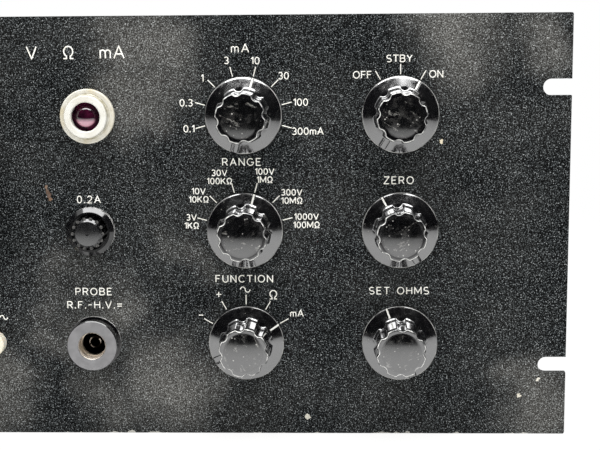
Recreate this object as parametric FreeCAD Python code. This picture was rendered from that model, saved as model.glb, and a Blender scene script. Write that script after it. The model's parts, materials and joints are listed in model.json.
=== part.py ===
import FreeCAD, Part
import math
import os
from FreeCAD import Vector

# Rack-mounted valve volt-ohm meter: a black panel with its controls and meter, the chassis behind it
# and a dust cover that draws off backwards. All sizes are in millimetres.
# X runs right along the panel, Y runs into the instrument and Z runs up.
# The origin is the middle of the panel's bottom edge.

# Panel
panel_width = 482.6
panel_height = 221.5
panel_thickness = 4.0
panel_corner = 1.0
rack_slot_width = 8.5
rack_slot_depth = 14.7
rack_slot_spacing = 146.05

# Three columns and three rows of controls on the right of the panel
control_pitch_x = 81.0
control_pitch_z = 60.2
control_middle_x = 72.8
control_drop = 0.75

# Clearances
running_fit = 0.05
location_fit = 0.05
hole_clearance = 0.15
moving_gap = 0.3

# Limits used while shaping
slot_end_relief = 0.01
edge_tolerance = 1e-6
upright_share = 0.99

# Knobs
knob_gap = 0.6
skirt_diameter = 39.8
skirt_edge = 1.2
skirt_rise = 3.4
cap_base_diameter = 26.8
cap_top_diameter = 25.8
cap_height = 24.5
cap_face_diameter = 20.6
cap_chamfer = 1.0
flute_count = 8
flute_radius = 3.0
flute_depth = 1.3
pointer_groove_width = 1.8
pointer_groove_depth = 0.6
driver_trough_radius = 2.8
driver_trough_depth = 1.0
knob_wall = 1.6
knob_bore_depth = 12.0
set_screw_diameter = 4.0
set_screw_length = 6.0
set_screw_height = 10.5
set_screw_slot = 0.8

# Control bushes, nuts and shafts
shaft_diameter = 6.0
bush_diameter = 9.5
bush_reach = 4.6
nut_flats = 14.0
nut_thickness = 2.4
washer_diameter = 16.0
washer_thickness = 0.5

# Rotary switches
switch_plate_diameter = 34.0
switch_plate_thickness = 1.5
wafer_diameter = 40.0
wafer_thickness = 1.6
wafer_pitch = 12.0
wafer_bore = 13.0
tie_bolt_diameter = 3.0
tie_bolt_inset = 3.0
spacer_wall = 0.9
contact_count = 12
contact_width = 2.2
contact_reach = 3.0
contact_thickness = 0.5
contact_ring_width = 2.0
contact_ring_margin = 1.0
rotor_clearance = 0.25
tongue_width = 5.0
tongue_thickness = 2.0

# Potentiometers
pot_diameter = 28.0
pot_depth = 14.0
pot_wall = 1.2
wiper_thickness = 1.5
lug_width = 3.0
lug_length = 7.0
lug_thickness = 0.6
pot_lug_angle = 30.0

# Meter
meter_x = -125.0
meter_rise = 36.25
meter_width = 132.0
meter_height = 114.0
meter_depth = 16.0
meter_corner = 8.0
meter_edge_round = 2.5
meter_wall = 3.0
window_width = 108.0
window_height = 66.0
window_corner = 5.0
window_rise = 11.0
glass_margin = 3.0
glass_thickness = 2.0
flange_thickness = 2.0
can_margin = 1.0
can_drop = 10.0
can_depth = 46.0
can_wall = 2.0
dial_margin = 4.0
dial_thickness = 0.8
dial_stand = 3.0
dial_post_diameter = 6.0
dial_post_inset = 11.0
dial_notch_margin = 2.0
pivot_drop = 26.0
needle_length = 60.0
needle_width = 1.6
needle_tip_width = 0.5
needle_thickness = 0.5
needle_stand = 1.4
needle_tail = 14.0
needle_hub_diameter = 6.0
needle_zero_angle = 135.0
arbor_diameter = 1.6
magnet_gap = 2.0
magnet_length = 22.0
magnet_setback = 6.0
pole_bore = 28.0
core_gap = 1.5
core_length = 20.0
core_web = 3.0
core_web_bite = 1.0
coil_gap = 1.4
coil_bar = 1.6
coil_depth = 3.0
coil_end_gap = 2.0
coil_end = 2.0
bridge_thickness = 1.5
bridge_width = 8.0
bridge_overhang = 2.5
bridge_post_diameter = 4.0
jewel_clearance = 0.1
bridge_stand = 5.0
magnet_post_diameter = 6.0
stud_diameter = 3.6
meter_stud_inset = 11.5
meter_stud_length = 8.0
meter_nut_flats = 7.0
meter_nut_thickness = 3.0
zero_screw_diameter = 7.0
zero_screw_drop = 44.0
zero_screw_proud = 0.8
zero_screw_slot = 1.0
zero_screw_flange = 9.2
zero_screw_flange_thickness = 1.2

# Pilot lamp
bezel_diameter = 28.4
bezel_rim = 2.3
bezel_collar_diameter = 22.6
bezel_depth = 7.4
bezel_draft = 0.3
bezel_foot = 0.4
bezel_brow_round = 0.6
bezel_mouth_chamfer = 0.6
bezel_tail_diameter = 17.8
bezel_tail_length = 14.0
jewel_diameter = 13.2
jewel_flange_diameter = 14.9
jewel_flange_thickness = 2.0
jewel_seat = 1.5
jewel_rise = 7.0
lamp_holder_length = 22.0
lamp_holder_overlap = 2.0
lamp_holder_wall = 0.8
lamp_base_diameter = 9.2
lamp_globe_diameter = 10.4
lamp_neck_step = 0.6
lamp_length = 27.0
panel_nut_thickness = 4.0
pilot_nut_flats = 22.0

# Fuse holder
fuse_rim_width = 3.05
fuse_rim_height = 5.2
fuse_rim_bevel = 1.7
fuse_rim_land = 1.0
fuse_cap_gap = 0.9
fuse_recess_floor = 1.5
fuse_bore = 12.4
fuse_tail_wall = 1.7
fuse_contact_length = 9.7
fuse_back_wall = 2.0
fuse_nut_flats = 20.0
fuse_cap_diameter = 17.4
fuse_cap_front = 11.0
fuse_cap_rib_count = 14
fuse_cap_rib_height = 1.0
fuse_cap_rib_width = 1.9
fuse_cap_chamfer = 1.3
fuse_cap_dome = 0.7
fuse_spigot_length = 9.5
fuse_diameter = 6.3
fuse_glass_diameter = 5.4
fuse_length = 32.0
fuse_end_length = 6.0
fuse_socket_depth = 6.0

# Probe socket
probe_flange_step = 0.8
probe_flange_thickness = 1.2
probe_diameter = 26.8
probe_depth = 8.5
probe_edge = 0.4
probe_bore = 14.0
probe_tail_wall = 2.4
probe_tail_length = 22.0
probe_back_wall = 2.0
probe_nut_flats = 26.0
probe_sleeve_wall = 0.6
probe_sleeve_setback = 6.0
probe_pin_diameter = 6.3
probe_pin_bore = 5.2
probe_pin_setback = 9.5

# Input jacks under the meter
jack_count = 4
jack_inset = 3.0
jack_diameter = 12.8
jack_depth = 6.5
jack_edge = 1.2
jack_tail_wall = 1.4
jack_tail_length = 12.0
jack_tube_diameter = 6.0
jack_bore = 4.0
jack_tube_length = 26.0
jack_tube_setback = 0.5
jack_back_wall = 2.0
jack_nut_flats = 11.0
jack_nut_thickness = 3.0

# Chassis
rack_ear = 27.3
body_depth = 238.0
cheek_inset = 6.25
cheek_thickness = 2.0
cheek_flange = 14.0
panel_stud_diameter = 4.0
panel_stud_length = 9.0
panel_stud_nut_flats = 7.0
panel_stud_nut_thickness = 3.2
panel_stud_heights = (0.15, 0.5, 0.85)
rear_thickness = 2.0
rear_flange = 24.0
deck_height = 78.0
deck_depth = 138.0
deck_setback = 2.0
deck_thickness = 1.5
deck_skirt = 40.0
screw_diameter = 3.0
screw_head_diameter = 6.0
screw_head_height = 2.2
screw_slot = 0.8
rear_screw_inset = 0.12
deck_screw_count = 3
rear_vent_count = 9
rear_vent_width = 5.0
rear_vent_height = 60.0
rear_vent_pitch = 14.0
rear_vent_z = 140.0
grommet_x = -150.0
grommet_z = 40.0
grommet_diameter = 16.0
grommet_bore = 8.0
grommet_groove_diameter = 12.0
grommet_lip = 2.0

# Dust cover
cover_wall = 1.2
cover_clearance = 0.8
cover_panel_gap = 0.4
cover_bottom = 2.0
cover_lip = 10.0
cover_screw_inset_x = 4.0
cover_screw_inset_z = 40.0
louvre_count = 9
louvre_length = 60.0
louvre_width = 5.0
louvre_pitch = 16.0
louvre_row_offset = 105.0
side_louvre_height = 110.0
bottom_plate_gap = 0.2

# Mains transformer
core_width = 84.0
core_height = 70.0
core_depth = 36.0
core_limb = 14.0
coil_side_clearance = 0.6
coil_overhang = 14.0
transformer_x = -142.0
transformer_setback = 66.0
transformer_foot_height = 3.0
transformer_foot_reach = 12.0
transformer_bolt_diameter = 4.0
transformer_nut_flats = 7.0
transformer_nut_thickness = 3.2

# Valves, their sockets and the filter capacitor
valve_columns = (0.0, 52.0, 104.0, 156.0)
valve_diameters = (22.0, 22.0, 19.0, 22.0)
valve_heights = (56.0, 56.0, 44.0, 68.0)
valve_setback = 58.0
valve_wall = 0.9
valve_tip_diameter = 5.0
valve_tip_height = 4.0
valve_shoulder_share = 0.6
valve_crown_share = 0.4
socket_diameter = 25.0
socket_height = 6.0
socket_spigot_diameter = 19.0
socket_spigot_depth = 8.0
anode_diameter_share = 0.52
anode_base = 12.0
anode_top_margin = 14.0
mica_thickness = 0.6
capacitor_x = -62.0
capacitor_setback = 58.0
capacitor_diameter = 35.0
capacitor_height = 80.0
capacitor_base_height = 6.0
capacitor_tail = 10.0
capacitor_tail_diameter = 16.0
capacitor_base_step = 1.2
capacitor_round = 1.5

# Resistor board
board_x = 78.0
board_setback = 22.0
board_width = 170.0
board_height = 46.0
board_thickness = 2.0
board_foot = 12.0
board_foot_width = 10.0
board_lift = 6.0
resistor_count = 10
resistor_margin = 13.0
resistor_diameter = 6.0
resistor_length = 20.0
resistor_lead = 1.0
resistor_span = 34.0

# Places that follow from the sizes above
panel_front = -panel_thickness / 2
panel_back = panel_thickness / 2
control_middle_z = panel_height / 2 - control_drop
columns = [control_middle_x + step * control_pitch_x for step in (-1, 0, 1)]
rows = [control_middle_z + step * control_pitch_z for step in (1, 0, -1)]
lamp_column, range_column, zero_column = columns
top_row, middle_row, bottom_row = rows

# Each control: its name, place on the panel, pointer angle from the right, and number of switch wafers.
# A control with no wafers is a potentiometer.
controls = [
    ("current_range", range_column, top_row, 75.0, 2),
    ("voltage_range", range_column, middle_row, 75.0, 3),
    ("function", range_column, bottom_row, 30.0, 3),
    ("power", zero_column, top_row, 60.0, 1),
    ("zero", zero_column, middle_row, 119.0, 0),
    ("ohms", zero_column, bottom_row, 111.0, 0),
]
meter_z = panel_height / 2 + meter_rise
jack_pitch = (meter_width - 2 * jack_inset) / (jack_count - 1)
jack_columns = [meter_x + (place - (jack_count - 1) / 2) * jack_pitch for place in range(jack_count)]


def block(x0, x1, y0, y1, z0, z1):
    """A box between two corners."""
    return Part.makeBox(x1 - x0, y1 - y0, z1 - z0, Vector(x0, y0, z0))


def rod(diameter, z0, z1, x=0.0, y=0.0):
    """A round bar along Z."""
    return Part.makeCylinder(diameter / 2, z1 - z0, Vector(x, y, z0))


def ring(outer, inner, z0, z1, x=0.0, y=0.0):
    """A tube along Z."""
    return rod(outer, z0, z1, x, y).cut(rod(inner, z0, z1, x, y))


def turned(profile):
    """A solid of revolution about Z.

    Profile points are (radius, height), and a pair of points is an arc's middle and end.
    """
    edges = []
    start = Vector(profile[0][0], 0, profile[0][1])
    for step in list(profile[1:]) + [profile[0]]:
        if isinstance(step[0], tuple):
            middle, end = (Vector(r, 0, z) for r, z in step)
            edges.append(Part.Arc(start, middle, end).toShape())
        else:
            end = Vector(step[0], 0, step[1])
            if (end - start).Length < edge_tolerance:
                continue
            edges.append(Part.LineSegment(start, end).toShape())
        start = end
    wire = Part.Wire(edges)
    return Part.Face(wire).revolve(Vector(0, 0, 0), Vector(0, 0, 1), 360)


def dome_arc(radius, base, top):
    """The arc of a round cap from (radius, base) to the axis at top, as its middle and end."""
    way = 1 if top > base else -1
    rise = abs(top - base)
    ball = (radius ** 2 + rise ** 2) / (2 * rise)
    half_angle = math.atan2(radius, ball - rise) / 2
    centre = top - way * ball
    return ((ball * math.sin(half_angle), centre + way * ball * math.cos(half_angle)), (0, top))


def rounded_plate(width, height, z0, z1, corner, x=0.0, y=0.0):
    """A plate with rounded corners, centred on (x, y)."""
    plate = block(x - width / 2, x + width / 2, y - height / 2, y + height / 2, z0, z1)
    upright = [e for e in plate.Edges if abs(e.tangentAt(e.FirstParameter).z) > upright_share]
    return plate.makeFillet(corner, upright)


def hexagon(flats, z0, z1, x=0.0, y=0.0):
    """A six-sided prism along Z."""
    corner = flats / 2 / math.cos(math.pi / 6)
    points = []
    for n in range(7):
        angle = n * math.pi / 3
        points.append(Vector(x + corner * math.cos(angle), y + corner * math.sin(angle), z0))
    return Part.Face(Part.makePolygon(points)).extrude(Vector(0, 0, z1 - z0))


def hex_nut(flats, bore, z0, z1, x=0.0, y=0.0):
    """A hexagon nut with a plain bore."""
    return hexagon(flats, z0, z1, x, y).cut(rod(bore, z0, z1, x, y))


def fused(shapes):
    """One solid from several that touch or overlap."""
    body = shapes[0]
    for other in shapes[1:]:
        body = body.fuse(other)
    return body.removeSplitter()


def without(body, tools):
    """The body with every tool cut from it."""
    for tool in tools:
        body = body.cut(tool)
    return body


def on_panel(shape, x, z, turn=0.0):
    """Places a piece that is drawn with its Z axis out of the panel's front face."""
    placed = shape.copy()
    placed.rotate(Vector(0, 0, 0), Vector(0, 0, 1), turn)
    placed.rotate(Vector(0, 0, 0), Vector(1, 0, 0), 90)
    placed.translate(Vector(x, panel_front, z))
    return placed


def along_y(shape, x, y, z):
    """Places a piece that is drawn along Z so that it runs along Y, backwards from (x, y, z)."""
    placed = shape.copy()
    placed.rotate(Vector(0, 0, 0), Vector(1, 0, 0), -90)
    placed.translate(Vector(x, y, z))
    return placed


def along_x(shape, x, y, z, side):
    """Places a piece that is drawn along Z so that it runs along X, towards the given side."""
    placed = shape.copy()
    placed.rotate(Vector(0, 0, 0), Vector(0, 1, 0), 90 * side)
    placed.translate(Vector(x, y, z))
    return placed


def moved(shape, x, y, z):
    """A copy of a piece at a new place."""
    placed = shape.copy()
    placed.translate(Vector(x, y, z))
    return placed


# Front panel

can_diameter = meter_height - 2 * (meter_wall + can_margin + can_drop)
fuse_tail_diameter = fuse_bore + 2 * fuse_tail_wall
probe_tail_diameter = probe_bore + 2 * probe_tail_wall
jack_tail_diameter = jack_tube_diameter + 2 * jack_tail_wall
body_width = panel_width - 2 * rack_ear
cheek_height = panel_height - 2 * cheek_inset
bush_hole = bush_diameter + 2 * hole_clearance
meter_hole = can_diameter + 2 * hole_clearance
pilot_hole = bezel_tail_diameter + 2 * hole_clearance
fuse_hole = fuse_tail_diameter + 2 * hole_clearance
probe_hole = probe_tail_diameter + 2 * hole_clearance
jack_hole = jack_tail_diameter + 2 * hole_clearance
cheek_face = body_width / 2
cheek_bottom = cheek_inset
stud_column = cheek_face - cheek_flange / 2
stud_rows = [cheek_bottom + share * cheek_height for share in panel_stud_heights]
meter_studs = [
    (side * (meter_width / 2 - meter_stud_inset), level * (meter_height / 2 - meter_stud_inset))
    for side in (-1, 1)
    for level in (-1, 1)
]


def rack_slot(side, level):
    """The open-ended slot that a rack screw passes through."""
    edge = side * panel_width / 2
    centre = edge - side * (rack_slot_depth - rack_slot_width / 2)
    z = panel_height / 2 + level * rack_slot_spacing / 2
    end = along_y(rod(rack_slot_width, 0, panel_thickness), centre, panel_front, z)
    half = rack_slot_width / 2
    mouth = block(min(centre, edge), max(centre, edge), panel_front, panel_back, z - half, z + half)
    return end.fuse(mouth)


def front_panel():
    plate = rounded_plate(panel_width, panel_height, -panel_thickness, 0, panel_corner)
    plate = on_panel(plate, 0, panel_height / 2)
    through = [(x, z, bush_hole) for _, x, z, _, _ in controls]
    through += [(lamp_column, top_row, pilot_hole), (lamp_column, middle_row, fuse_hole)]
    through += [(lamp_column, bottom_row, probe_hole), (meter_x, meter_z - can_drop, meter_hole)]
    through += [(x, bottom_row, jack_hole) for x in jack_columns]
    through += [(meter_x + dx, meter_z + dz, stud_diameter + 2 * hole_clearance) for dx, dz in meter_studs]
    holes = [on_panel(rod(size, -panel_thickness, 0), x, z) for x, z, size in through]
    slots = [rack_slot(side, level) for side in (-1, 1) for level in (-1, 1)]
    studs = [
        along_y(rod(panel_stud_diameter, 0, panel_stud_length), side * stud_column, panel_back, z)
        for side in (-1, 1)
        for z in stud_rows
    ]
    return fused([without(plate, holes + slots)] + studs)


# Knobs and their shafts

skirt_top = knob_gap + skirt_edge + skirt_rise
bush_bore = shaft_diameter + 2 * running_fit
bush_end = bush_reach
nut_room = nut_flats / math.cos(math.pi / 6) + 4 * moving_gap
knob_bore_floor = bush_end + moving_gap
knob_bore_top = knob_bore_floor + knob_bore_depth
skirt_slope = math.atan2(skirt_rise, (skirt_diameter - cap_base_diameter) / 2)
skirt_radius = skirt_diameter / 2
cap_base_radius = cap_base_diameter / 2


def skirt_height(radius):
    """Height of the skirt's sloping face at a radius."""
    return skirt_top - (radius - cap_base_radius) * math.tan(skirt_slope)


def knob():
    """A moulded skirted knob, drawn with its pointer along X."""
    face_radius = cap_face_diameter / 2
    cap_top_radius = cap_top_diameter / 2
    body = turned(
        [
            (0, knob_gap),
            (skirt_radius, knob_gap),
            (skirt_radius, knob_gap + skirt_edge),
            (cap_base_radius, skirt_top),
            (cap_top_radius, cap_height - cap_chamfer),
            (face_radius, cap_height),
            (0, cap_height),
        ]
    )
    flute_centre = cap_base_radius - flute_depth + flute_radius
    flutes = []
    for n in range(flute_count):
        angle = (n + 0.5) * 2 * math.pi / flute_count
        place = (flute_centre * math.cos(angle), flute_centre * math.sin(angle))
        flutes.append(rod(2 * flute_radius, skirt_top, cap_height, *place))
    hollow_radius = nut_room / 2
    hollow = turned(
        [
            (0, knob_gap),
            (skirt_radius - knob_wall, knob_gap),
            (hollow_radius, skirt_height(hollow_radius) - 2 * knob_wall),
            (hollow_radius, knob_bore_floor),
            (0, knob_bore_floor),
        ]
    )
    bore = rod(shaft_diameter + 2 * running_fit, knob_bore_floor, knob_bore_top)
    tapped = rod(set_screw_diameter + 2 * running_fit, 0, cap_base_radius)
    tapped = moved(along_x(tapped, 0, 0, 0, -1), 0, 0, set_screw_height)
    return without(body, flutes + [hollow, bore, tapped, pointer_groove(), driver_trough()])


def pointer_groove():
    """The groove along the skirt that holds the pointer's white filling."""
    length = skirt_diameter
    half = pointer_groove_width / 2
    groove = block(0, length, -half, half, -pointer_groove_depth, skirt_diameter)
    groove.rotate(Vector(0, 0, 0), Vector(0, 1, 0), math.degrees(skirt_slope))
    groove.translate(Vector(cap_base_radius, 0, skirt_top))
    return groove


def driver_trough():
    """The shallow trough opposite the pointer that lets a screwdriver reach the set screw."""
    trough = rod(2 * driver_trough_radius, 0, skirt_diameter)
    trough.rotate(Vector(0, 0, 0), Vector(0, 1, 0), -90 - math.degrees(skirt_slope))
    lift = driver_trough_radius - driver_trough_depth
    trough.translate(Vector(-cap_base_radius, 0, skirt_top + lift))
    return trough


def set_screw():
    """The slotted grub screw that holds a knob on its shaft."""
    start = shaft_diameter / 2
    screw = rod(set_screw_diameter, start, start + set_screw_length)
    slot_half = set_screw_slot / 2
    reach = set_screw_diameter / 2
    top = start + set_screw_length
    slot = block(-reach, reach, -slot_half, slot_half, top - set_screw_slot, top)
    screw = screw.cut(slot)
    return moved(along_x(screw, 0, 0, 0, -1), 0, 0, set_screw_height)


# Rotary switches and potentiometers

plate_back = -panel_thickness - switch_plate_thickness
tie_bolt_spacing = switch_plate_diameter - 2 * tie_bolt_inset


def wafer_front(number):
    """Height of a wafer's front face, counted from the panel."""
    return plate_back - (number + 1) * wafer_pitch


def bush_with_plate(plate_diameter):
    """The threaded bush and the round plate that a control is held by."""
    plate = rod(plate_diameter, plate_back, -panel_thickness)
    neck = rod(bush_diameter, -panel_thickness, bush_end)
    return fused([plate, neck]).cut(rod(bush_bore, plate_back, bush_end))


def contact_comb(front):
    """The ring of contact clips and solder lugs on a wafer's face."""
    inner = wafer_bore / 2 + contact_ring_margin
    outer = inner + contact_ring_width
    tip = wafer_diameter / 2 + contact_reach
    base = ring(2 * outer, 2 * inner, front, front + contact_thickness)
    half = contact_width / 2
    lugs = []
    for n in range(contact_count):
        lug = block(inner + contact_ring_width / 2, tip, -half, half, front, front + contact_thickness)
        lug.rotate(Vector(0, 0, 0), Vector(0, 0, 1), (n + 0.5) * 360 / contact_count)
        lugs.append(lug)
    return fused([base] + lugs)


def switch_body(wafers):
    """The fixed part of a rotary switch: bush and plate, wafers, contacts, spacers and tie bolts."""
    solids = [bush_with_plate(switch_plate_diameter)]
    bolt_places = [-tie_bolt_spacing / 2, tie_bolt_spacing / 2]
    bolt_hole = tie_bolt_diameter + 2 * location_fit
    spacer = tie_bolt_diameter + 2 * location_fit + 2 * spacer_wall
    stack_end = wafer_front(wafers - 1) - wafer_thickness
    for number in range(wafers):
        front = wafer_front(number)
        wafer = ring(wafer_diameter, wafer_bore, front - wafer_thickness, front)
        wafer = without(wafer, [rod(bolt_hole, front - wafer_thickness, front, x) for x in bolt_places])
        solids.append(wafer)
        comb = contact_comb(front)
        gap = spacer + 2 * moving_gap
        comb = without(comb, [rod(gap, front, front + contact_thickness, x) for x in bolt_places])
        solids.append(comb)
        top = plate_back if number == 0 else wafer_front(number - 1) - wafer_thickness
        solids += [ring(spacer, bolt_hole, front, top, x) for x in bolt_places]
    for x in bolt_places:
        shank = rod(tie_bolt_diameter, stack_end - nut_thickness, plate_back, x)
        solids.append(shank)
        solids.append(hex_nut(2 * tie_bolt_diameter, bolt_hole, stack_end - nut_thickness, stack_end, x))
    return Part.makeCompound(solids)


def switch_rotor(wafers):
    """The shaft, its flat tongue and the rotor discs that turn inside the wafers."""
    stack_end = wafer_front(wafers - 1) - wafer_thickness
    shaft = rod(shaft_diameter, plate_back - moving_gap, knob_bore_top)
    half_w = tongue_width / 2
    half_t = tongue_thickness / 2
    tongue = block(-half_w, half_w, -half_t, half_t, stack_end - moving_gap, plate_back - moving_gap)
    disc = wafer_bore - 2 * rotor_clearance
    discs = [rod(disc, wafer_front(n) - wafer_thickness, wafer_front(n)) for n in range(wafers)]
    return fused([shaft, tongue] + discs)


def pot_body():
    """A potentiometer's can, with its bush and three solder lugs."""
    can = rod(pot_diameter, plate_back - pot_depth, plate_back)
    room = rod(pot_diameter - 2 * pot_wall, plate_back - pot_depth + pot_wall, plate_back)
    half = lug_width / 2
    lugs = []
    for place in (-1, 0, 1):
        lug = block(-half, half, -pot_diameter / 2 - lug_length, -pot_diameter / 2 + pot_wall, 0, lug_thickness)
        lug.rotate(Vector(0, 0, 0), Vector(0, 0, 1), place * pot_lug_angle)
        lugs.append(moved(lug, 0, 0, plate_back - pot_depth / 2))
    return fused([can.cut(room), bush_with_plate(pot_diameter)] + lugs)


def pot_rotor():
    """A potentiometer's shaft and wiper disc."""
    end = plate_back - pot_depth + pot_wall + moving_gap
    wiper = rod(pot_diameter - 2 * pot_wall - 4 * moving_gap, end, end + wiper_thickness)
    return fused([rod(shaft_diameter, end, knob_bore_top), wiper])


def control_nut():
    """The nut and washer that clamp a control's bush to the panel, as two solids."""
    bore = bush_diameter + 2 * location_fit
    washer = ring(washer_diameter, bore, 0, washer_thickness)
    nut = hex_nut(nut_flats, bore, washer_thickness, washer_thickness + nut_thickness)
    return [washer, nut]


# Meter

cover_inside = meter_depth - meter_wall
dial_width = window_width + 2 * dial_margin
dial_height = window_height + 2 * dial_margin
can_floor = -can_drop - can_diameter / 2 + can_wall
magnet_diameter = 2 * (-can_floor - pivot_drop - magnet_gap)
coil_width = pole_bore - 2 * coil_gap
core_diameter = coil_width - 2 * coil_bar - 2 * core_gap
pole_middle = (pole_bore + magnet_diameter) / 4
dial_back = flange_thickness + dial_stand
dial_front = dial_back + dial_thickness
needle_level = dial_front + needle_stand
magnet_front = -magnet_setback
magnet_back = magnet_front - magnet_length
magnet_middle = (magnet_front + magnet_back) / 2
coil_front = magnet_middle + core_length / 2 + coil_end_gap
coil_back = magnet_middle - core_length / 2 - coil_end_gap
front_bridge = magnet_front + bridge_stand
rear_bridge = magnet_back - bridge_stand
jewel_bore = arbor_diameter + 2 * jewel_clearance


def meter_cover():
    """The moulded bezel with its window and the hole for the zero screw."""
    shell = rounded_plate(meter_width, meter_height, 0, meter_depth, meter_corner)
    rim = [e for e in shell.Edges if e.BoundBox.ZMin > meter_depth - edge_tolerance]
    shell = shell.makeFillet(meter_edge_round, rim)
    room_w = meter_width - 2 * meter_wall
    room_h = meter_height - 2 * meter_wall
    room = rounded_plate(room_w, room_h, 0, cover_inside, meter_corner - meter_wall)
    window = rounded_plate(
        window_width, window_height, cover_inside, meter_depth, window_corner, 0, window_rise
    )
    screw_hole = rod(zero_screw_diameter + 2 * running_fit, cover_inside, meter_depth, 0, -zero_screw_drop)
    return without(shell, [room, window, screw_hole])


def meter_glass():
    width = window_width + 2 * glass_margin
    height = window_height + 2 * glass_margin
    low = cover_inside - glass_thickness
    return rounded_plate(width, height, low, cover_inside, window_corner, 0, window_rise)


def meter_can():
    """The movement's can with its flange, fixing studs, dial posts and magnet posts."""
    clear = meter_wall + hole_clearance
    flange_w = meter_width - 2 * clear
    flange_h = meter_height - 2 * clear
    flange = rounded_plate(flange_w, flange_h, 0, flange_thickness, meter_corner - meter_wall)
    barrel = rod(can_diameter, -can_depth, flange_thickness, 0, -can_drop)
    room = rod(can_diameter - 2 * can_wall, -can_depth + can_wall, flange_thickness, 0, -can_drop)
    shell = flange.fuse(barrel).cut(room)
    stud_end = -panel_thickness - meter_stud_length
    studs = [rod(stud_diameter, stud_end, flange_thickness, x, y) for x, y in meter_studs]
    post_place = dial_width / 2 - dial_post_inset
    dial_posts = [
        rod(dial_post_diameter, flange_thickness, dial_back, side * post_place, window_rise) for side in (-1, 1)
    ]
    can_back = -can_depth + can_wall
    magnet_posts = [
        rod(magnet_post_diameter, can_back, magnet_back, 0, -pivot_drop + side * pole_middle)
        for side in (-1, 1)
    ]
    return fused([shell] + studs + dial_posts + magnet_posts)


def meter_dial():
    """The printed scale plate, notched round the pointer's arbor."""
    plate = rounded_plate(dial_width, dial_height, dial_back, dial_front, window_corner, 0, window_rise)
    notch_radius = needle_hub_diameter / 2 + dial_notch_margin
    notch = rod(2 * notch_radius, dial_back, dial_front, 0, -pivot_drop)
    foot = window_rise - dial_height / 2
    if foot < -pivot_drop:
        slot = block(-notch_radius, notch_radius, foot, -pivot_drop, dial_back, dial_front)
        notch = notch.fuse(slot)
    return plate.cut(notch)


def meter_magnet():
    """The ring magnet with its fixed core, joined by two webs above and below."""
    outer = ring(magnet_diameter, pole_bore, magnet_back, magnet_front)
    core_back = magnet_middle - core_length / 2
    core_front = magnet_middle + core_length / 2
    core = rod(core_diameter, core_back, core_front)
    half = core_web / 2
    reach = pole_bore / 2 + core_web_bite
    web = block(-half, half, -reach, reach, magnet_middle - core_length / 4, magnet_middle + core_length / 4)
    return moved(fused([outer, core, web]), 0, -pivot_drop, 0)


def meter_bridges():
    """The front and rear bridges with the jewel bores that carry the arbor."""
    bridges = []
    for strip_low, post_low, post_high in (
        (front_bridge, magnet_front, front_bridge),
        (rear_bridge - bridge_thickness, rear_bridge, magnet_back),
    ):
        half_w = pole_middle + bridge_overhang
        half_h = bridge_width / 2
        strip = block(-half_w, half_w, -half_h, half_h, strip_low, strip_low + bridge_thickness)
        posts = [rod(bridge_post_diameter, post_low, post_high, side * pole_middle) for side in (-1, 1)]
        bridge = fused([strip] + posts)
        bridge = bridge.cut(rod(jewel_bore, strip_low, strip_low + bridge_thickness))
        bridges.append(moved(bridge, 0, -pivot_drop, 0))
    return Part.makeCompound(bridges)


def meter_needle():
    """The pointer, its tail and arbor, and the moving coil, drawn at the zero mark."""
    tip = needle_tip_width / 2
    root = needle_width / 2
    top = needle_level + needle_thickness
    outline = [
        Vector(needle_length, -tip, needle_level),
        Vector(needle_length, tip, needle_level),
        Vector(-needle_tail, root, needle_level),
        Vector(-needle_tail, -root, needle_level),
    ]
    blade = Part.Face(Part.makePolygon(outline + outline[:1])).extrude(Vector(0, 0, needle_thickness))
    hub = rod(needle_hub_diameter, needle_level - needle_stand / 2, top)
    half_w = coil_width / 2
    half_d = coil_depth / 2
    loop = block(-half_d, half_d, -half_w, half_w, coil_back - coil_end, coil_front + coil_end)
    inside = half_w - coil_bar
    loop = loop.cut(block(-half_d, half_d, -inside, inside, coil_back, coil_front))
    front_arbor = rod(arbor_diameter, coil_front + coil_end / 2, top)
    rear_arbor = rod(arbor_diameter, rear_bridge - bridge_thickness / 2, coil_back - coil_end / 2)
    moving = fused([blade, hub, front_arbor, rear_arbor, loop])
    moving.rotate(Vector(0, 0, 0), Vector(0, 0, 1), needle_zero_angle)
    return moved(moving, 0, -pivot_drop, 0)


def meter_zero_screw():
    """The slotted zero-setting screw in the bezel, with the flange that keeps it in."""
    head_top = meter_depth + zero_screw_proud
    flange_top = cover_inside - moving_gap / 2
    flange = rod(zero_screw_flange, flange_top - zero_screw_flange_thickness, flange_top)
    head = rod(zero_screw_diameter, flange_top - zero_screw_flange_thickness, head_top)
    half = zero_screw_slot / 2
    reach = zero_screw_diameter
    slot = block(-reach, reach, -half, half, head_top - zero_screw_slot, head_top)
    return moved(fused([head, flange]).cut(slot), 0, -zero_screw_drop, 0)


# Pilot lamp

jewel_bore_diameter = jewel_flange_diameter + 2 * location_fit
holder_diameter = jewel_diameter - 2 * location_fit
holder_front = -bezel_tail_length + lamp_holder_overlap
holder_back = holder_front - lamp_holder_length
lamp_foot = holder_back + lamp_holder_wall


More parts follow.
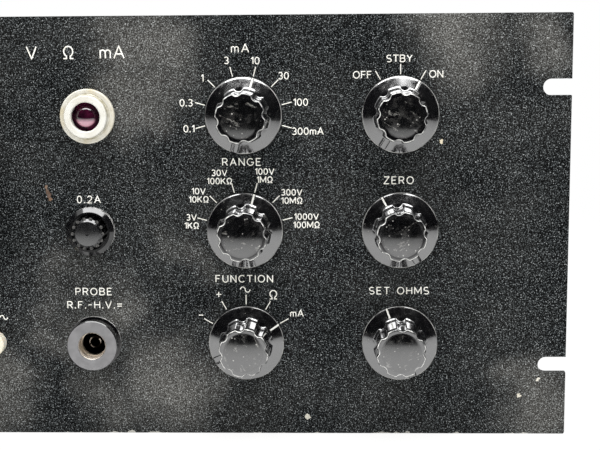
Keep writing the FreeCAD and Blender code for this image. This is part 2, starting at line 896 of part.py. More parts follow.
def pilot_bezel():
    """The ivory bezel: a stepped collar with a threaded tail through the panel."""
    outer = bezel_diameter / 2
    collar = bezel_collar_diameter / 2
    mouth = jewel_bore_diameter / 2
    ledge = jewel_diameter / 2
    tail = bezel_tail_diameter / 2
    rim_round = bezel_rim / 3
    brow = collar - bezel_draft
    soft = bezel_brow_round
    bend = 1 - math.sqrt(0.5)
    return turned(
        [
            (ledge, -bezel_tail_length),
            (tail, -bezel_tail_length),
            (tail, 0),
            (outer, 0),
            (outer, bezel_rim - rim_round),
            ((outer - bend * rim_round, bezel_rim - bend * rim_round), (outer - rim_round, bezel_rim)),
            (collar + bezel_foot, bezel_rim),
            (collar, bezel_rim + bezel_foot),
            (brow, bezel_depth - soft),
            ((brow - bend * soft, bezel_depth - bend * soft), (brow - soft, bezel_depth)),
            (mouth + bezel_mouth_chamfer, bezel_depth),
            (mouth, bezel_depth - bezel_mouth_chamfer),
            (mouth, jewel_seat),
            (ledge, jewel_seat),
        ]
    )


def pilot_jewel():
    """The domed amethyst glass with the flange it is seated by."""
    dome = jewel_diameter / 2
    flange = jewel_flange_diameter / 2
    shoulder = jewel_seat + jewel_flange_thickness
    return turned(
        [
            (0, jewel_seat),
            (flange, jewel_seat),
            (flange, shoulder),
            (dome, shoulder),
            dome_arc(dome, shoulder, jewel_rise),
        ]
    )


def pilot_lamp_holder():
    """The metal cup behind the bezel that the lamp stands in."""
    inside = holder_diameter - 2 * lamp_holder_wall
    cup = rod(holder_diameter, holder_back, holder_front)
    return cup.cut(rod(inside, lamp_foot, holder_front))


def pilot_lamp():
    """The lamp: its cap and the glass globe above it."""
    base = lamp_base_diameter / 2
    globe = lamp_globe_diameter / 2
    top = lamp_foot + lamp_length
    neck = top - 2 * globe
    centre = top - globe
    side = globe * math.sqrt(0.5)
    return turned(
        [
            (0, lamp_foot),
            (base, lamp_foot),
            (base, neck - globe / 2),
            (base - lamp_neck_step, neck - globe / 4),
            ((globe, centre), (side, centre + side)),
            dome_arc(side, centre + side, top),
        ]
    )


# Fuse holder

fuse_recess_diameter = fuse_cap_diameter + 2 * fuse_cap_gap
fuse_rim_diameter = fuse_recess_diameter + 2 * fuse_rim_width
fuse_cap_back = fuse_recess_floor + moving_gap
fuse_spigot = fuse_bore - 2 * moving_gap
fuse_top = fuse_cap_back - fuse_spigot_length + fuse_socket_depth - moving_gap
fuse_foot = fuse_top - fuse_length
fuse_floor = fuse_foot - moving_gap - fuse_contact_length
fuse_tail_length = fuse_back_wall - fuse_floor


def fuse_base():
    """The moulded holder: a bevelled rim, a recess for the cap and a tail with the rear contact."""
    rim = fuse_rim_diameter / 2
    recess = fuse_recess_diameter / 2
    tail = fuse_tail_diameter / 2
    bore = fuse_bore / 2
    body = turned(
        [
            (0, -fuse_tail_length),
            (tail, -fuse_tail_length),
            (tail, 0),
            (rim, 0),
            (rim, fuse_rim_height - fuse_rim_bevel),
            (recess + fuse_rim_land, fuse_rim_height),
            (recess, fuse_rim_height),
            (recess, fuse_recess_floor),
            (bore, fuse_recess_floor),
            (bore, fuse_floor),
            (0, fuse_floor),
        ]
    )
    contact = rod(fuse_glass_diameter, fuse_floor, fuse_foot - moving_gap)
    return fused([body, contact])


def fuse_cap():
    """The ribbed screw cap with the socket that grips the fuse."""
    rib_top = fuse_cap_diameter / 2
    core = rib_top - fuse_cap_rib_height
    face = core - fuse_cap_chamfer
    shoulder = fuse_cap_front - fuse_cap_chamfer
    body = turned(
        [
            (0, fuse_cap_back - fuse_spigot_length),
            (fuse_spigot / 2, fuse_cap_back - fuse_spigot_length),
            (fuse_spigot / 2, fuse_cap_back),
            (core, fuse_cap_back),
            (core, shoulder),
            (face, fuse_cap_front),
            dome_arc(face, fuse_cap_front, fuse_cap_front + fuse_cap_dome),
        ]
    )
    rib_end = fuse_cap_front - fuse_cap_chamfer / 2
    rib_line = rib_top - fuse_cap_rib_width / 2
    ribs = []
    for n in range(fuse_cap_rib_count):
        angle = 2 * math.pi * n / fuse_cap_rib_count
        place = (rib_line * math.cos(angle), rib_line * math.sin(angle))
        ribs.append(rod(fuse_cap_rib_width, fuse_cap_back, rib_end, *place))
    socket_back = fuse_cap_back - fuse_spigot_length
    socket = rod(fuse_diameter + 4 * running_fit, socket_back, socket_back + fuse_socket_depth)
    return fused([body] + ribs).cut(socket)


def fuse_cartridge():
    """The fuse: a glass tube between two metal ends."""
    ends = [
        rod(fuse_diameter, fuse_foot, fuse_foot + fuse_end_length),
        rod(fuse_diameter, fuse_top - fuse_end_length, fuse_top),
    ]
    tube = rod(fuse_glass_diameter, fuse_foot + fuse_end_length, fuse_top - fuse_end_length)
    return Part.makeCompound(ends + [tube])


# Probe socket and input jacks

probe_floor = -probe_tail_length + probe_back_wall
probe_flange_diameter = probe_diameter + 2 * probe_flange_step


def probe_socket():
    """The moulded socket body: a flange, a round boss with a deep bore, and a threaded tail."""
    flange = probe_flange_diameter / 2
    boss = probe_diameter / 2
    bore = probe_bore / 2
    tail = probe_tail_diameter / 2
    return turned(
        [
            (0, -probe_tail_length),
            (tail, -probe_tail_length),
            (tail, 0),
            (flange, 0),
            (flange, probe_flange_thickness),
            (boss, probe_flange_thickness),
            (boss, probe_depth - probe_edge),
            (boss - probe_edge, probe_depth),
            (bore + probe_edge, probe_depth),
            (bore, probe_depth - probe_edge),
            (bore, probe_floor),
            (0, probe_floor),
        ]
    )


def probe_contacts():
    """The outer contact sleeve and the hollow centre contact."""
    sleeve_outer = probe_bore - 2 * location_fit
    sleeve_inner = sleeve_outer - 2 * probe_sleeve_wall
    sleeve = ring(sleeve_outer, sleeve_inner, probe_floor, probe_depth - probe_sleeve_setback)
    pin = ring(probe_pin_diameter, probe_pin_bore, probe_floor, probe_depth - probe_pin_setback)
    return Part.makeCompound([sleeve, pin])


def jack_collar():
    """The moulded collar of an input jack."""
    outer = jack_diameter / 2
    tail = jack_tail_diameter / 2
    bore = jack_tube_diameter / 2 + location_fit
    corner = jack_depth - jack_edge
    bend = jack_edge * (1 - math.sqrt(0.5))
    return turned(
        [
            (bore, -panel_thickness - jack_tail_length),
            (tail, -panel_thickness - jack_tail_length),
            (tail, 0),
            (outer, 0),
            (outer, corner),
            ((outer - bend, jack_depth - bend), (outer - jack_edge, jack_depth)),
            (bore, jack_depth),
        ]
    )


def jack_tube():
    """The metal tube of an input jack, open at the front, with a solder tag at the back."""
    front = jack_depth - jack_tube_setback
    back = front - jack_tube_length
    tube = rod(jack_tube_diameter, back, front)
    tag = block(-lug_width / 2, lug_width / 2, -lug_thickness / 2, lug_thickness / 2, back - lug_length, back)
    return fused([tube.cut(rod(jack_bore, back + jack_back_wall, front)), tag])


# Chassis

body_back = panel_back + body_depth
rear_front = body_back - rear_thickness
cheek_top = cheek_bottom + cheek_height
deck_back = rear_front - rear_thickness - deck_setback
deck_front = deck_back - deck_depth
deck_low = deck_height - deck_skirt
deck_half = cheek_face - cheek_thickness
deck_screw_places = [
    deck_front + deck_depth * (n + 0.5) / deck_screw_count for n in range(deck_screw_count)
]
deck_screw_height = deck_height - deck_skirt / 2
rear_screw_column = cheek_face - cheek_thickness - rear_flange / 2 - cover_lip / 2
rear_screw_rows = [cheek_bottom + cheek_height * share for share in (rear_screw_inset, 1 - rear_screw_inset)]
screw_hole = screw_diameter + 2 * hole_clearance


def cheek(side):
    """A folded side plate with a front flange for the panel and a rear flange for the back plate."""
    outer = side * cheek_face
    inner = outer - side * cheek_thickness
    wall = block(min(outer, inner), max(outer, inner), panel_back, rear_front, cheek_bottom, cheek_top)
    flange_edge = outer - side * cheek_flange
    front = block(
        min(outer, flange_edge), max(outer, flange_edge), panel_back, panel_back + cheek_thickness,
        cheek_bottom, cheek_top,
    )
    rear_edge = inner - side * (rear_flange + cover_lip / 2)
    rear = block(
        min(inner, rear_edge), max(inner, rear_edge), rear_front - rear_thickness, rear_front,
        cheek_bottom, cheek_top,
    )
    stud_hole = panel_stud_diameter + 2 * hole_clearance
    holes = [
        along_y(rod(stud_hole, 0, cheek_thickness), side * stud_column, panel_back, z) for z in stud_rows
    ]
    holes += [
        along_y(rod(screw_hole, 0, rear_thickness), side * rear_screw_column, rear_front - rear_thickness, z)
        for z in rear_screw_rows
    ]
    holes += [
        along_y(rod(screw_hole, 0, rear_thickness), x, rear_front - rear_thickness, z)
        for x, z in cover_screw_places
        if x * side > 0
    ]
    holes += [
        along_x(rod(screw_hole, 0, cheek_thickness), inner, y, deck_screw_height, side)
        for y in deck_screw_places
    ]
    return without(fused([wall, front, rear]), holes)


def chassis_deck():
    """The folded deck that carries the transformer, valves and capacitor."""
    outside = block(-deck_half, deck_half, deck_front, deck_back, deck_low, deck_height)
    inside = block(
        -deck_half + deck_thickness, deck_half - deck_thickness, deck_front + deck_thickness,
        deck_back - deck_thickness, deck_low, deck_height - deck_thickness,
    )
    low = deck_height - deck_thickness
    holes = [
        rod(socket_spigot_diameter + 2 * hole_clearance, low, deck_height, x, valve_y) for x in valve_columns
    ]
    holes.append(rod(capacitor_tail_diameter + 2 * hole_clearance, low, deck_height, capacitor_x, capacitor_y))
    holes += [
        rod(transformer_bolt_diameter + 2 * hole_clearance, low, deck_height, x, y)
        for x, y in transformer_bolts
    ]
    for side in (-1, 1):
        start = side * (deck_half - deck_thickness)
        holes += [
            along_x(rod(screw_hole, 0, deck_thickness), start, y, deck_screw_height, side)
            for y in deck_screw_places
        ]
    return without(outside.cut(inside), holes)


def rear_plate():
    """The back plate with its ventilation slots and the hole for the mains lead's grommet."""
    half = deck_half
    plate = block(-half, half, rear_front, body_back, cheek_bottom, cheek_top)
    cuts = []
    for n in range(rear_vent_count):
        x = (n - (rear_vent_count - 1) / 2) * rear_vent_pitch
        slot = rounded_plate(
            rear_vent_width, rear_vent_height, 0, rear_thickness, rear_vent_width / 2 - slot_end_relief
        )
        cuts.append(along_y(slot, x, rear_front, rear_vent_z))
    lead_hole = rod(grommet_groove_diameter + 2 * location_fit, 0, rear_thickness)
    cuts.append(along_y(lead_hole, grommet_x, rear_front, grommet_z))
    places = [(side * rear_screw_column, z) for side in (-1, 1) for z in rear_screw_rows]
    places += cover_screw_places
    cuts += [along_y(rod(screw_hole, 0, rear_thickness), x, rear_front, z) for x, z in places]
    return without(plate, cuts)


def screw(length):
    """A round-headed screw along Z: its head below zero and its shank above."""
    head = screw_head_diameter / 2
    dome = turned([(0, 0), (head, 0), dome_arc(head, 0, -screw_head_height)])
    half = screw_slot / 2
    slot = block(-head, head, -half, half, -screw_head_height, -screw_head_height / 2)
    return fused([dome.cut(slot), rod(screw_diameter, 0, length)])


def chassis_screws():
    """The screws that hold the deck to the cheeks and the back plate to their flanges."""
    pieces = []
    for side in (-1, 1):
        start = side * (deck_half - deck_thickness)
        length = deck_thickness + cheek_thickness
        pieces += [along_x(screw(length), start, y, deck_screw_height, side) for y in deck_screw_places]
        for z in rear_screw_rows:
            fixing = screw(2 * rear_thickness)
            fixing.rotate(Vector(0, 0, 0), Vector(1, 0, 0), 90)
            fixing.translate(Vector(side * rear_screw_column, body_back, z))
            pieces.append(fixing)
    return Part.makeCompound(pieces)


def mains_grommet():
    """The rubber grommet that the mains lead leaves by."""
    outer = grommet_diameter / 2
    groove = grommet_groove_diameter / 2
    bore = grommet_bore / 2
    length = rear_thickness + 2 * grommet_lip
    body = turned(
        [
            (bore, 0),
            (outer, 0),
            (outer, grommet_lip),
            (groove, grommet_lip),
            (groove, grommet_lip + rear_thickness),
            (outer, grommet_lip + rear_thickness),
            (outer, length),
            (bore, length),
        ]
    )
    return along_y(body, grommet_x, rear_front - grommet_lip, grommet_z)


# Dust cover

cover_inner = cheek_face + cover_clearance
cover_outer = cover_inner + cover_wall
cover_top = panel_height - cover_bottom
cover_front = panel_back + cover_panel_gap
cover_back = body_back + cover_wall
cover_screw_places = [
    (side * (cover_inner - cover_clearance - cheek_thickness - cover_screw_inset_x), z)
    for side in (-1, 1)
    for z in (cheek_bottom + cover_screw_inset_z, cheek_top - cover_screw_inset_z)
]


def louvre(length, width, z0, z1):
    """A long slot with round ends, along X."""
    return rounded_plate(length, width, z0, z1, width / 2 - slot_end_relief)


def dust_cover():
    """The folded cover: top, two sides and a lip across the back, with ventilation slots."""
    floor = cover_bottom + cover_wall + bottom_plate_gap
    outside = block(-cover_outer, cover_outer, cover_front, cover_back, floor, cover_top)
    inside = block(-cover_inner, cover_inner, cover_front, body_back, floor, cover_top - cover_wall)
    mouth_half = cover_inner - cover_lip
    mouth = block(-mouth_half, mouth_half, body_back, cover_back, floor, cover_top - cover_wall - cover_lip)
    cuts = [inside, mouth]
    middle = (cover_front + cover_back) / 2
    for n in range(louvre_count):
        y = middle + (n - (louvre_count - 1) / 2) * louvre_pitch
        for side in (-1, 1):
            slot = louvre(louvre_length, louvre_width, cover_top - cover_wall, cover_top)
            cuts.append(moved(slot, side * louvre_row_offset, y, 0))
            slot = along_x(louvre(louvre_length, louvre_width, 0, cover_wall), 0, 0, 0, 1)
            place = cover_inner if side > 0 else -cover_outer
            cuts.append(moved(slot, place, y, side_louvre_height))
    cuts += [along_y(rod(screw_hole, 0, cover_wall), x, body_back, z) for x, z in cover_screw_places]
    return without(outside, cuts)


def bottom_plate():
    """The flat plate that closes the cover underneath."""
    plate = block(-cover_outer, cover_outer, cover_front, cover_back, cover_bottom, cover_bottom + cover_wall)
    return plate


def cover_screws():
    """The screws that hold the cover's lip to the back plate."""
    pieces = []
    for x, z in cover_screw_places:
        fixing = screw(cover_wall + 2 * rear_thickness)
        fixing.rotate(Vector(0, 0, 0), Vector(1, 0, 0), 90)
        fixing.translate(Vector(x, cover_back, z))
        pieces.append(fixing)
    return Part.makeCompound(pieces)


# Mains transformer, valves, capacitor and resistor board

core_foot = deck_height + transformer_foot_height
transformer_y = deck_back - transformer_setback
valve_y = deck_back - valve_setback
capacitor_y = deck_back - capacitor_setback
board_y = deck_front + board_setback
bolt_row = (core_depth + transformer_foot_reach) / 2
bolt_column = (core_width - core_limb) / 2
transformer_bolts = [
    (transformer_x + side * bolt_column, transformer_y + end * bolt_row) for side in (-1, 1) for end in (-1, 1)
]


def transformer_core():
    """The stack of laminations with its two windows."""
    half_w = core_width / 2
    half_d = core_depth / 2
    x, y = transformer_x, transformer_y
    stack = block(x - half_w, x + half_w, y - half_d, y + half_d, core_foot, core_foot + core_height)
    window = (core_width - 4 * core_limb) / 2
    windows = []
    for side in (-1, 1):
        near = x + side * core_limb
        far = near + side * window
        windows.append(
            block(
                min(near, far), max(near, far), y - half_d, y + half_d,
                core_foot + core_limb, core_foot + core_height - core_limb,
            )
        )
    return without(stack, windows)


def transformer_coil():
    """The winding on the middle limb, standing out at the front and back."""
    window = (core_width - 4 * core_limb) / 2
    half_w = core_limb + window - coil_side_clearance
    half_d = core_depth / 2 + coil_overhang
    low = core_foot + core_limb + coil_side_clearance
    high = core_foot + core_height - core_limb - coil_side_clearance
    x, y = transformer_x, transformer_y
    winding = rounded_plate(2 * half_w, 2 * half_d, low, high, coil_overhang / 2, x, y)
    limb = block(
        x - core_limb - location_fit, x + core_limb + location_fit, y - core_depth / 2 - location_fit,
        y + core_depth / 2 + location_fit, low, high,
    )
    return winding.cut(limb)


def transformer_feet():
    """The two angle feet under the core, with the bolts and nuts that hold them to the deck."""
    solids = []
    reach = core_depth / 2 + transformer_foot_reach
    x, y = transformer_x, transformer_y
    bolt_hole = transformer_bolt_diameter + 2 * location_fit
    for side in (-1, 1):
        centre = x + side * (core_width - core_limb) / 2
        strip = block(
            centre - core_limb / 2, centre + core_limb / 2, y - reach, y + reach, deck_height, core_foot
        )
        bolts = [place for place in transformer_bolts if place[0] * side > x * side]
        holes = [rod(bolt_hole, deck_height, core_foot, bx, by) for bx, by in bolts]
        solids.append(without(strip, holes))
    low = deck_height - deck_thickness - transformer_nut_thickness
    for bx, by in transformer_bolts:
        shank = rod(transformer_bolt_diameter, low, core_foot, bx, by)
        head = hexagon(transformer_nut_flats, core_foot, core_foot + transformer_nut_thickness, bx, by)
        solids.append(fused([shank, head]))
        solids.append(
            hex_nut(transformer_nut_flats, bolt_hole, low, low + transformer_nut_thickness, bx, by)
        )
    return Part.makeCompound(solids)


valves = list(zip(valve_columns, valve_diameters, valve_heights))
valve_foot = deck_height + socket_height


def valve_sockets():
    """The moulded sockets, each with a flange on the deck and a spigot through it."""
    pieces = []
    for x in valve_columns:
        flange = rod(socket_diameter, deck_height, valve_foot, x, valve_y)
        spigot = rod(socket_spigot_diameter, deck_height - socket_spigot_depth, deck_height, x, valve_y)
        pieces.append(fused([flange, spigot]))
    return Part.makeCompound(pieces)


def valve_outline(radius, height):
    """Half outline of a valve's bulb, from its shoulder to the tip on the axis."""
    tip = valve_tip_diameter / 2
    crown = height - valve_tip_height
    rise = radius * valve_shoulder_share
    shoulder = crown - rise
    bend = math.sqrt(0.5)
    return [
        (radius, shoulder),
        ((radius - (1 - bend) * rise, shoulder + bend * rise), (radius * valve_crown_share, crown)),
        (tip, crown + valve_tip_height / 4),
        dome_arc(tip, crown + valve_tip_height / 4, height),
    ]


def valve_bulbs():
    """The glass bulbs, each a closed shell round its electrodes."""
    pieces = []
    for x, diameter, height in valves:
        radius = diameter / 2
        outer = turned([(0, 0), (radius, 0)] + valve_outline(radius, height))
        inner_radius = radius - valve_wall
        inner_top = height - valve_tip_height - 2 * valve_wall
        inner_rise = inner_radius * valve_shoulder_share
        inner = rod(2 * inner_radius, 2 * valve_wall, inner_top - inner_rise)
        dome = Part.makeCone(
            inner_radius, inner_radius * valve_crown_share, inner_rise, Vector(0, 0, inner_top - inner_rise)
        )
        pieces.append(moved(outer.cut(inner.fuse(dome).removeSplitter()), x, valve_y, valve_foot))
    return Part.makeCompound(pieces)


def valve_electrodes():
    """The anodes and micas that show through the glass."""
    pieces = []
    for x, diameter, height in valves:
        anode = diameter * anode_diameter_share
        top = height - anode_top_margin
        foot = rod(anode / 2, 2 * valve_wall, anode_base)
        plate = rod(anode, anode_base, top)
        mica = diameter - 2 * valve_wall - 2 * moving_gap
        micas = [rod(mica, level, level + mica_thickness) for level in (anode_base, top - mica_thickness)]
        pieces.append(moved(fused([foot, plate] + micas), x, valve_y, valve_foot))
    return Part.makeCompound(pieces)


def filter_capacitor():
    """The can capacitor with its threaded tail through the deck."""
    base = rod(capacitor_diameter, deck_height, deck_height + capacitor_base_height, capacitor_x, capacitor_y)
    can = rod(
        capacitor_diameter - 2 * capacitor_base_step, deck_height + capacitor_base_height,
        deck_height + capacitor_height, capacitor_x, capacitor_y,
    )
    rim = [e for e in can.Edges if e.BoundBox.ZMin > deck_height + capacitor_height - edge_tolerance]
    can = can.makeFillet(capacitor_round, rim)
    tail = rod(capacitor_tail_diameter, deck_height - capacitor_tail, deck_height, capacitor_x, capacitor_y)
    return fused([base, can, tail])


board_low = deck_height + board_lift


def resistor_board():
    """The tag board, standing on two angle feet."""
    half = board_width / 2
    board = block(
        board_x - half, board_x + half, board_y, board_y + board_thickness, board_low, board_low + board_height
    )
    feet = []
    for side in (-1, 1):
        centre = board_x + side * (half - board_foot)
        near = board_y + board_thickness
        low = block(
            centre - board_foot_width / 2, centre + board_foot_width / 2, near, near + board_foot,
            deck_height, deck_height + board_thickness,
        )
        post = block(
            centre - board_foot_width / 2, centre + board_foot_width / 2, near, near + board_thickness,
            deck_height, board_low + board_foot,
        )
        feet += [low, post]
    return fused([board] + feet)


def resistors():
    """The row of resistors soldered between the tags on the board."""
    pieces = []
    face = board_y - resistor_diameter / 2
    middle = board_low + board_height / 2
    half_span = resistor_span / 2
    bend = resistor_lead / 2
    pitch = (board_width - 2 * resistor_margin) / (resistor_count - 1)
    for n in range(resistor_count):
        x = board_x + (n - (resistor_count - 1) / 2) * pitch
        barrel = rod(resistor_diameter, middle - resistor_length / 2, middle + resistor_length / 2, x, face)
        wire = rod(resistor_lead, middle - half_span, middle + half_span, x, face)
        tags = [
            along_y(rod(2 * resistor_lead, 0, board_y - face + bend), x, face - bend, middle + end * half_span)
            for end in (-1, 1)
        ]
        pieces.append(fused([barrel, wire] + tags))
    return Part.makeCompound(pieces)


# Assembly

def panel_nuts():
    """Every nut and washer that clamps a piece to the panel."""
    pieces = []
    for _, x, z, _, _ in controls:
        pieces += [on_panel(shape, x, z) for shape in control_nut()]
    back = -panel_thickness
    for z, flats, bore in (
        (top_row, pilot_nut_flats, bezel_tail_diameter),
        (middle_row, fuse_nut_flats, fuse_tail_diameter),
        (bottom_row, probe_nut_flats, probe_tail_diameter),
    ):
        nut = hex_nut(flats, bore + 2 * location_fit, back - panel_nut_thickness, back)
        pieces.append(on_panel(nut, lamp_column, z))
    jack_nut_bore = jack_tail_diameter + 2 * location_fit
    jack_nut = hex_nut(jack_nut_flats, jack_nut_bore, back - jack_nut_thickness, back)
    pieces += [on_panel(jack_nut, x, bottom_row) for x in jack_columns]
    meter_nut = hex_nut(meter_nut_flats, stud_diameter + 2 * location_fit, back - meter_nut_thickness, back)
    pieces += [on_panel(meter_nut, meter_x + dx, meter_z + dz) for dx, dz in meter_studs]
    stud_bore = panel_stud_diameter + 2 * location_fit
    stud_nut = hex_nut(panel_stud_nut_flats, stud_bore, 0, panel_stud_nut_thickness)
    for side in (-1, 1):
        start = panel_back + cheek_thickness
        pieces += [along_y(stud_nut, side * stud_column, start, z) for z in stud_rows]
    return Part.makeCompound(pieces)


def on_meter(shape):
    """Places a meter piece at the meter's place on the panel."""
    return on_panel(shape, meter_x, meter_z)


def all_nodes():
    """Every node of the instrument by name."""
    nodes = {
        "front_panel": front_panel(),
        "left_cheek": cheek(-1),
        "right_cheek": cheek(1),
        "chassis_deck": chassis_deck(),
        "rear_plate": rear_plate(),
        "chassis_screws": chassis_screws(),
        "panel_nuts": panel_nuts(),
        "mains_grommet": mains_grommet(),
        "dust_cover": dust_cover(),
        "bottom_plate": bottom_plate(),
        "cover_screws": cover_screws(),
        "meter_cover": on_meter(meter_cover()),
        "meter_glass": on_meter(meter_glass()),
        "meter_can": on_meter(meter_can()),
        "meter_dial": on_meter(meter_dial()),
        "meter_magnet": on_meter(meter_magnet()),
        "meter_bridges": on_meter(meter_bridges()),
        "meter_needle": on_meter(meter_needle()),
        "meter_zero_screw": on_meter(meter_zero_screw()),
        "pilot_bezel": on_panel(pilot_bezel(), lamp_column, top_row),
        "pilot_jewel": on_panel(pilot_jewel(), lamp_column, top_row),
        "pilot_lamp_holder": on_panel(pilot_lamp_holder(), lamp_column, top_row),
        "pilot_lamp": on_panel(pilot_lamp(), lamp_column, top_row),
        "fuse_base": on_panel(fuse_base(), lamp_column, middle_row),
        "fuse_cap": on_panel(fuse_cap(), lamp_column, middle_row),
        "fuse_cartridge": on_panel(fuse_cartridge(), lamp_column, middle_row),
        "probe_socket": on_panel(probe_socket(), lamp_column, bottom_row),
        "probe_contacts": on_panel(probe_contacts(), lamp_column, bottom_row),
        "transformer_core": transformer_core(),
        "transformer_coil": transformer_coil(),
        "transformer_feet": transformer_feet(),
        "valve_sockets": valve_sockets(),
        "valve_bulbs": valve_bulbs(),
        "valve_electrodes": valve_electrodes(),
        "filter_capacitor": filter_capacitor(),
        "resistor_board": resistor_board(),
        "resistors": resistors(),
    }
    ivory = [on_panel(jack_collar(), x, bottom_row) for x in jack_columns[1:]]
    nodes["input_jacks"] = Part.makeCompound(ivory)
    nodes["common_jack"] = on_panel(jack_collar(), jack_columns[0], bottom_row)
    nodes["jack_tubes"] = Part.makeCompound([on_panel(jack_tube(), x, bottom_row) for x in jack_columns])
    for name, x, z, angle, wafers in controls:
        fixed = switch_body(wafers) if wafers else pot_body()
        rotor = switch_rotor(wafers) if wafers else pot_rotor()
        kind = "switch" if wafers else "potentiometer"
        nodes[f"{name}_{kind}"] = on_panel(fixed, x, z)
        nodes[f"{name}_knob"] = on_panel(knob(), x, z, angle)
        spindle = Part.makeCompound([rotor, set_screw()])
        nodes[f"{name}_shaft"] = on_panel(spindle, x, z, angle)
    return nodes


def main():
    os.makedirs("parts", exist_ok=True)
    for name, shape in all_nodes().items():
        shape.exportStep(os.path.join("parts", f"{name}.step"))


main()
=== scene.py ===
"""Dresses the rack voltmeter: its finishes, knobs, lettering and dial printing, and a plain pale studio.

Every piece is in metres in the part's own frame: X to the right along the panel, Y into the instrument
and Z up, with the origin at the middle of the panel's bottom edge.
"""

import json
import math

import bmesh
import bpy
from mathutils import Matrix, Vector


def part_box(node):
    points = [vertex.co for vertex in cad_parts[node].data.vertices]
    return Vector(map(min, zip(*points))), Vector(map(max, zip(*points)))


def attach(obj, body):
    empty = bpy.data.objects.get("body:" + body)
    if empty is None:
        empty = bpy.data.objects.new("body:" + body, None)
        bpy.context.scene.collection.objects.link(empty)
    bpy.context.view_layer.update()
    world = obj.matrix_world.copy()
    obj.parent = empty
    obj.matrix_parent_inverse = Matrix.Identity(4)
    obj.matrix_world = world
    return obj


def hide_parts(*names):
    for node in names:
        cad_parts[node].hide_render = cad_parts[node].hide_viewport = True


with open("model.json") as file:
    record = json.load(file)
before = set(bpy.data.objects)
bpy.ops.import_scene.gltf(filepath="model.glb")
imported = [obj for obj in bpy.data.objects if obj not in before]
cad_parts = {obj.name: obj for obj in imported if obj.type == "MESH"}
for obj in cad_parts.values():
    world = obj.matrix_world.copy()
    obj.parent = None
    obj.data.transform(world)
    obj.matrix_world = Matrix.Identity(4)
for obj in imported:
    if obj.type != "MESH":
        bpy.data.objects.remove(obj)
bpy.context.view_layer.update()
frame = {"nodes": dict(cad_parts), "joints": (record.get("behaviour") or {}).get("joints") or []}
nodes = frame["nodes"]
turning_points = {joint["child"]: Vector(joint["pos_m"]) for joint in frame["joints"] if "pos_m" in joint}

bl_info = {
    "name": "Rack voltmeter dress",
    "version": (1, 0, 0),
    "blender": (4, 5, 0),
    "location": "3D View > Sidebar > Voltmeter",
    "description": "Adds finishes, knobs, lettering, dial printing and a studio to the packed rack voltmeter",
    "category": "Object",
}

mm = 0.001
panel_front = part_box("front_panel")[0].y
dial_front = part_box("meter_dial")[0].y

# For each knob, the rest angle of its pointer in degrees, anticlockwise from the right, and its marks: the
# angle of each, its figures, and how far their middle is across and up from the knob's axis in millimetres
control_marks = {
    "current_range": (75, [(195, "0.1", -28.4, -6.8), (165, "0.3", -29.6, 6.6), (135, "1", -21.0, 19.2),
                           (105, "3", -8.4, 28.2), (75, "10", 6.4, 28.0), (45, "30", 20.9, 20.2),
                           (15, "100", 29.6, 6.6), (-15, "300mA", 33.2, -8.4)]),
    "voltage_range": (75, [(165, "3V/1KΩ", -28.0, 4.8), (135, "10V/10KΩ", -24.0, 18.6),
                           (105, "30V/100KΩ", -13.0, 28.2), (75, "100V/1MΩ", 10.6, 28.8),
                           (45, "300V/10MΩ", 24.6, 17.8), (15, "1000V/100MΩ", 32.2, 5.0)]),
    "function": (30, [(150, "-", -24.0, 14.8), (120, "+", -14.4, 26.0), (90, "~", -0.4, 28.6),
                      (60, "Ω", 14.4, 25.8), (30, "mA", 26.8, 15.8)]),
    "power": (60, [(120, "OFF", -19.6, 20.4), (90, "STBY", -0.6, 28.6), (60, "ON", 18.2, 20.6)]),
    "zero": (119, []),
    "ohms": (111, []),
}

# Old dust and painted sheen on the panel, in millimetres: the middle of each patch across and up, its
# radius, and its strength
dust_and_sheen_patches = [
    (23, 204, 42, 0.85), (175, 214, 48, 1.0), (228, 207, 28, 0.8), (-6, 66, 38, 0.85), (34, 26, 46, 1.0),
    (222, 18, 36, 0.75), (12, 178, 30, 0.75), (-4, 17, 34, 0.6), (-26, 50, 22, 0.6), (47, 98, 20, 0.45),
    (-205, 195, 40, 0.85), (-70, 28, 40, 0.8), (-190, 24, 34, 0.7),
]

# Larger nicks in the enamel, in millimetres: the middle of each across and up, its radius, and its colour
panel_nicks = [
    (175, 156, 1.1, "d8cdb4"), (167, 106, 0.7, "c9c6bc"), (227, 30, 1.0, "d5d1c6"), (217, 21, 1.1, "cdc8ba"),
    (105, 9, 1.3, "c4c0b4"), (-31.2, 133, 1.1, "7a6657"), (-30.7, 131.4, 1.0, "66554a"),
    (-30.2, 130, 1.2, "5c4a3f"), (-29.8, 128.5, 1.0, "66544a"), (-29.4, 127, 1.0, "77604f"),
    (-120, 14, 1.1, "c9c6bc"),
]


# Colour, node and mesh helpers


def linear(code):
    """The linear colour of an sRGB hex value, with full opacity."""
    parts = [int(code[n : n + 2], 16) / 255 for n in (0, 2, 4)]
    return (*(c / 12.92 if c <= 0.04045 else ((c + 0.055) / 1.055) ** 2.4 for c in parts), 1.0)


def add(tree, kind, sockets=None, **settings):
    """Adds a shader node with its settings, and a value or a link for each socket named or numbered."""
    node = tree.nodes.new("ShaderNode" + kind)
    for name, value in settings.items():
        setattr(node, name, value)
    for socket, value in (sockets or {}).items():
        if isinstance(value, bpy.types.NodeSocket):
            tree.links.new(value, node.inputs[socket])
        else:
            node.inputs[socket].default_value = value
    return node


def blank(name):
    """A new material, with its node tree and its shader."""
    made = bpy.data.materials.new(name)
    made.use_nodes = True
    return made, made.node_tree, made.node_tree.nodes["Principled BSDF"]


def patches(tree, place, size, span, ends=(0.0, 1.0), detail=3.0, rough=0.5):
    """Cloudy patches of a size in millimetres: noise, of which a span is spread between two ends."""
    noise = {"Vector": place, "Scale": 1 / (size * mm), "Detail": detail, "Roughness": rough}
    cloud = add(tree, "TexNoise", noise).outputs["Fac"]
    spread = {"Value": cloud, 1: span[0], 2: span[1], 3: ends[0], 4: ends[1]}
    return add(tree, "MapRange", spread).outputs[0]


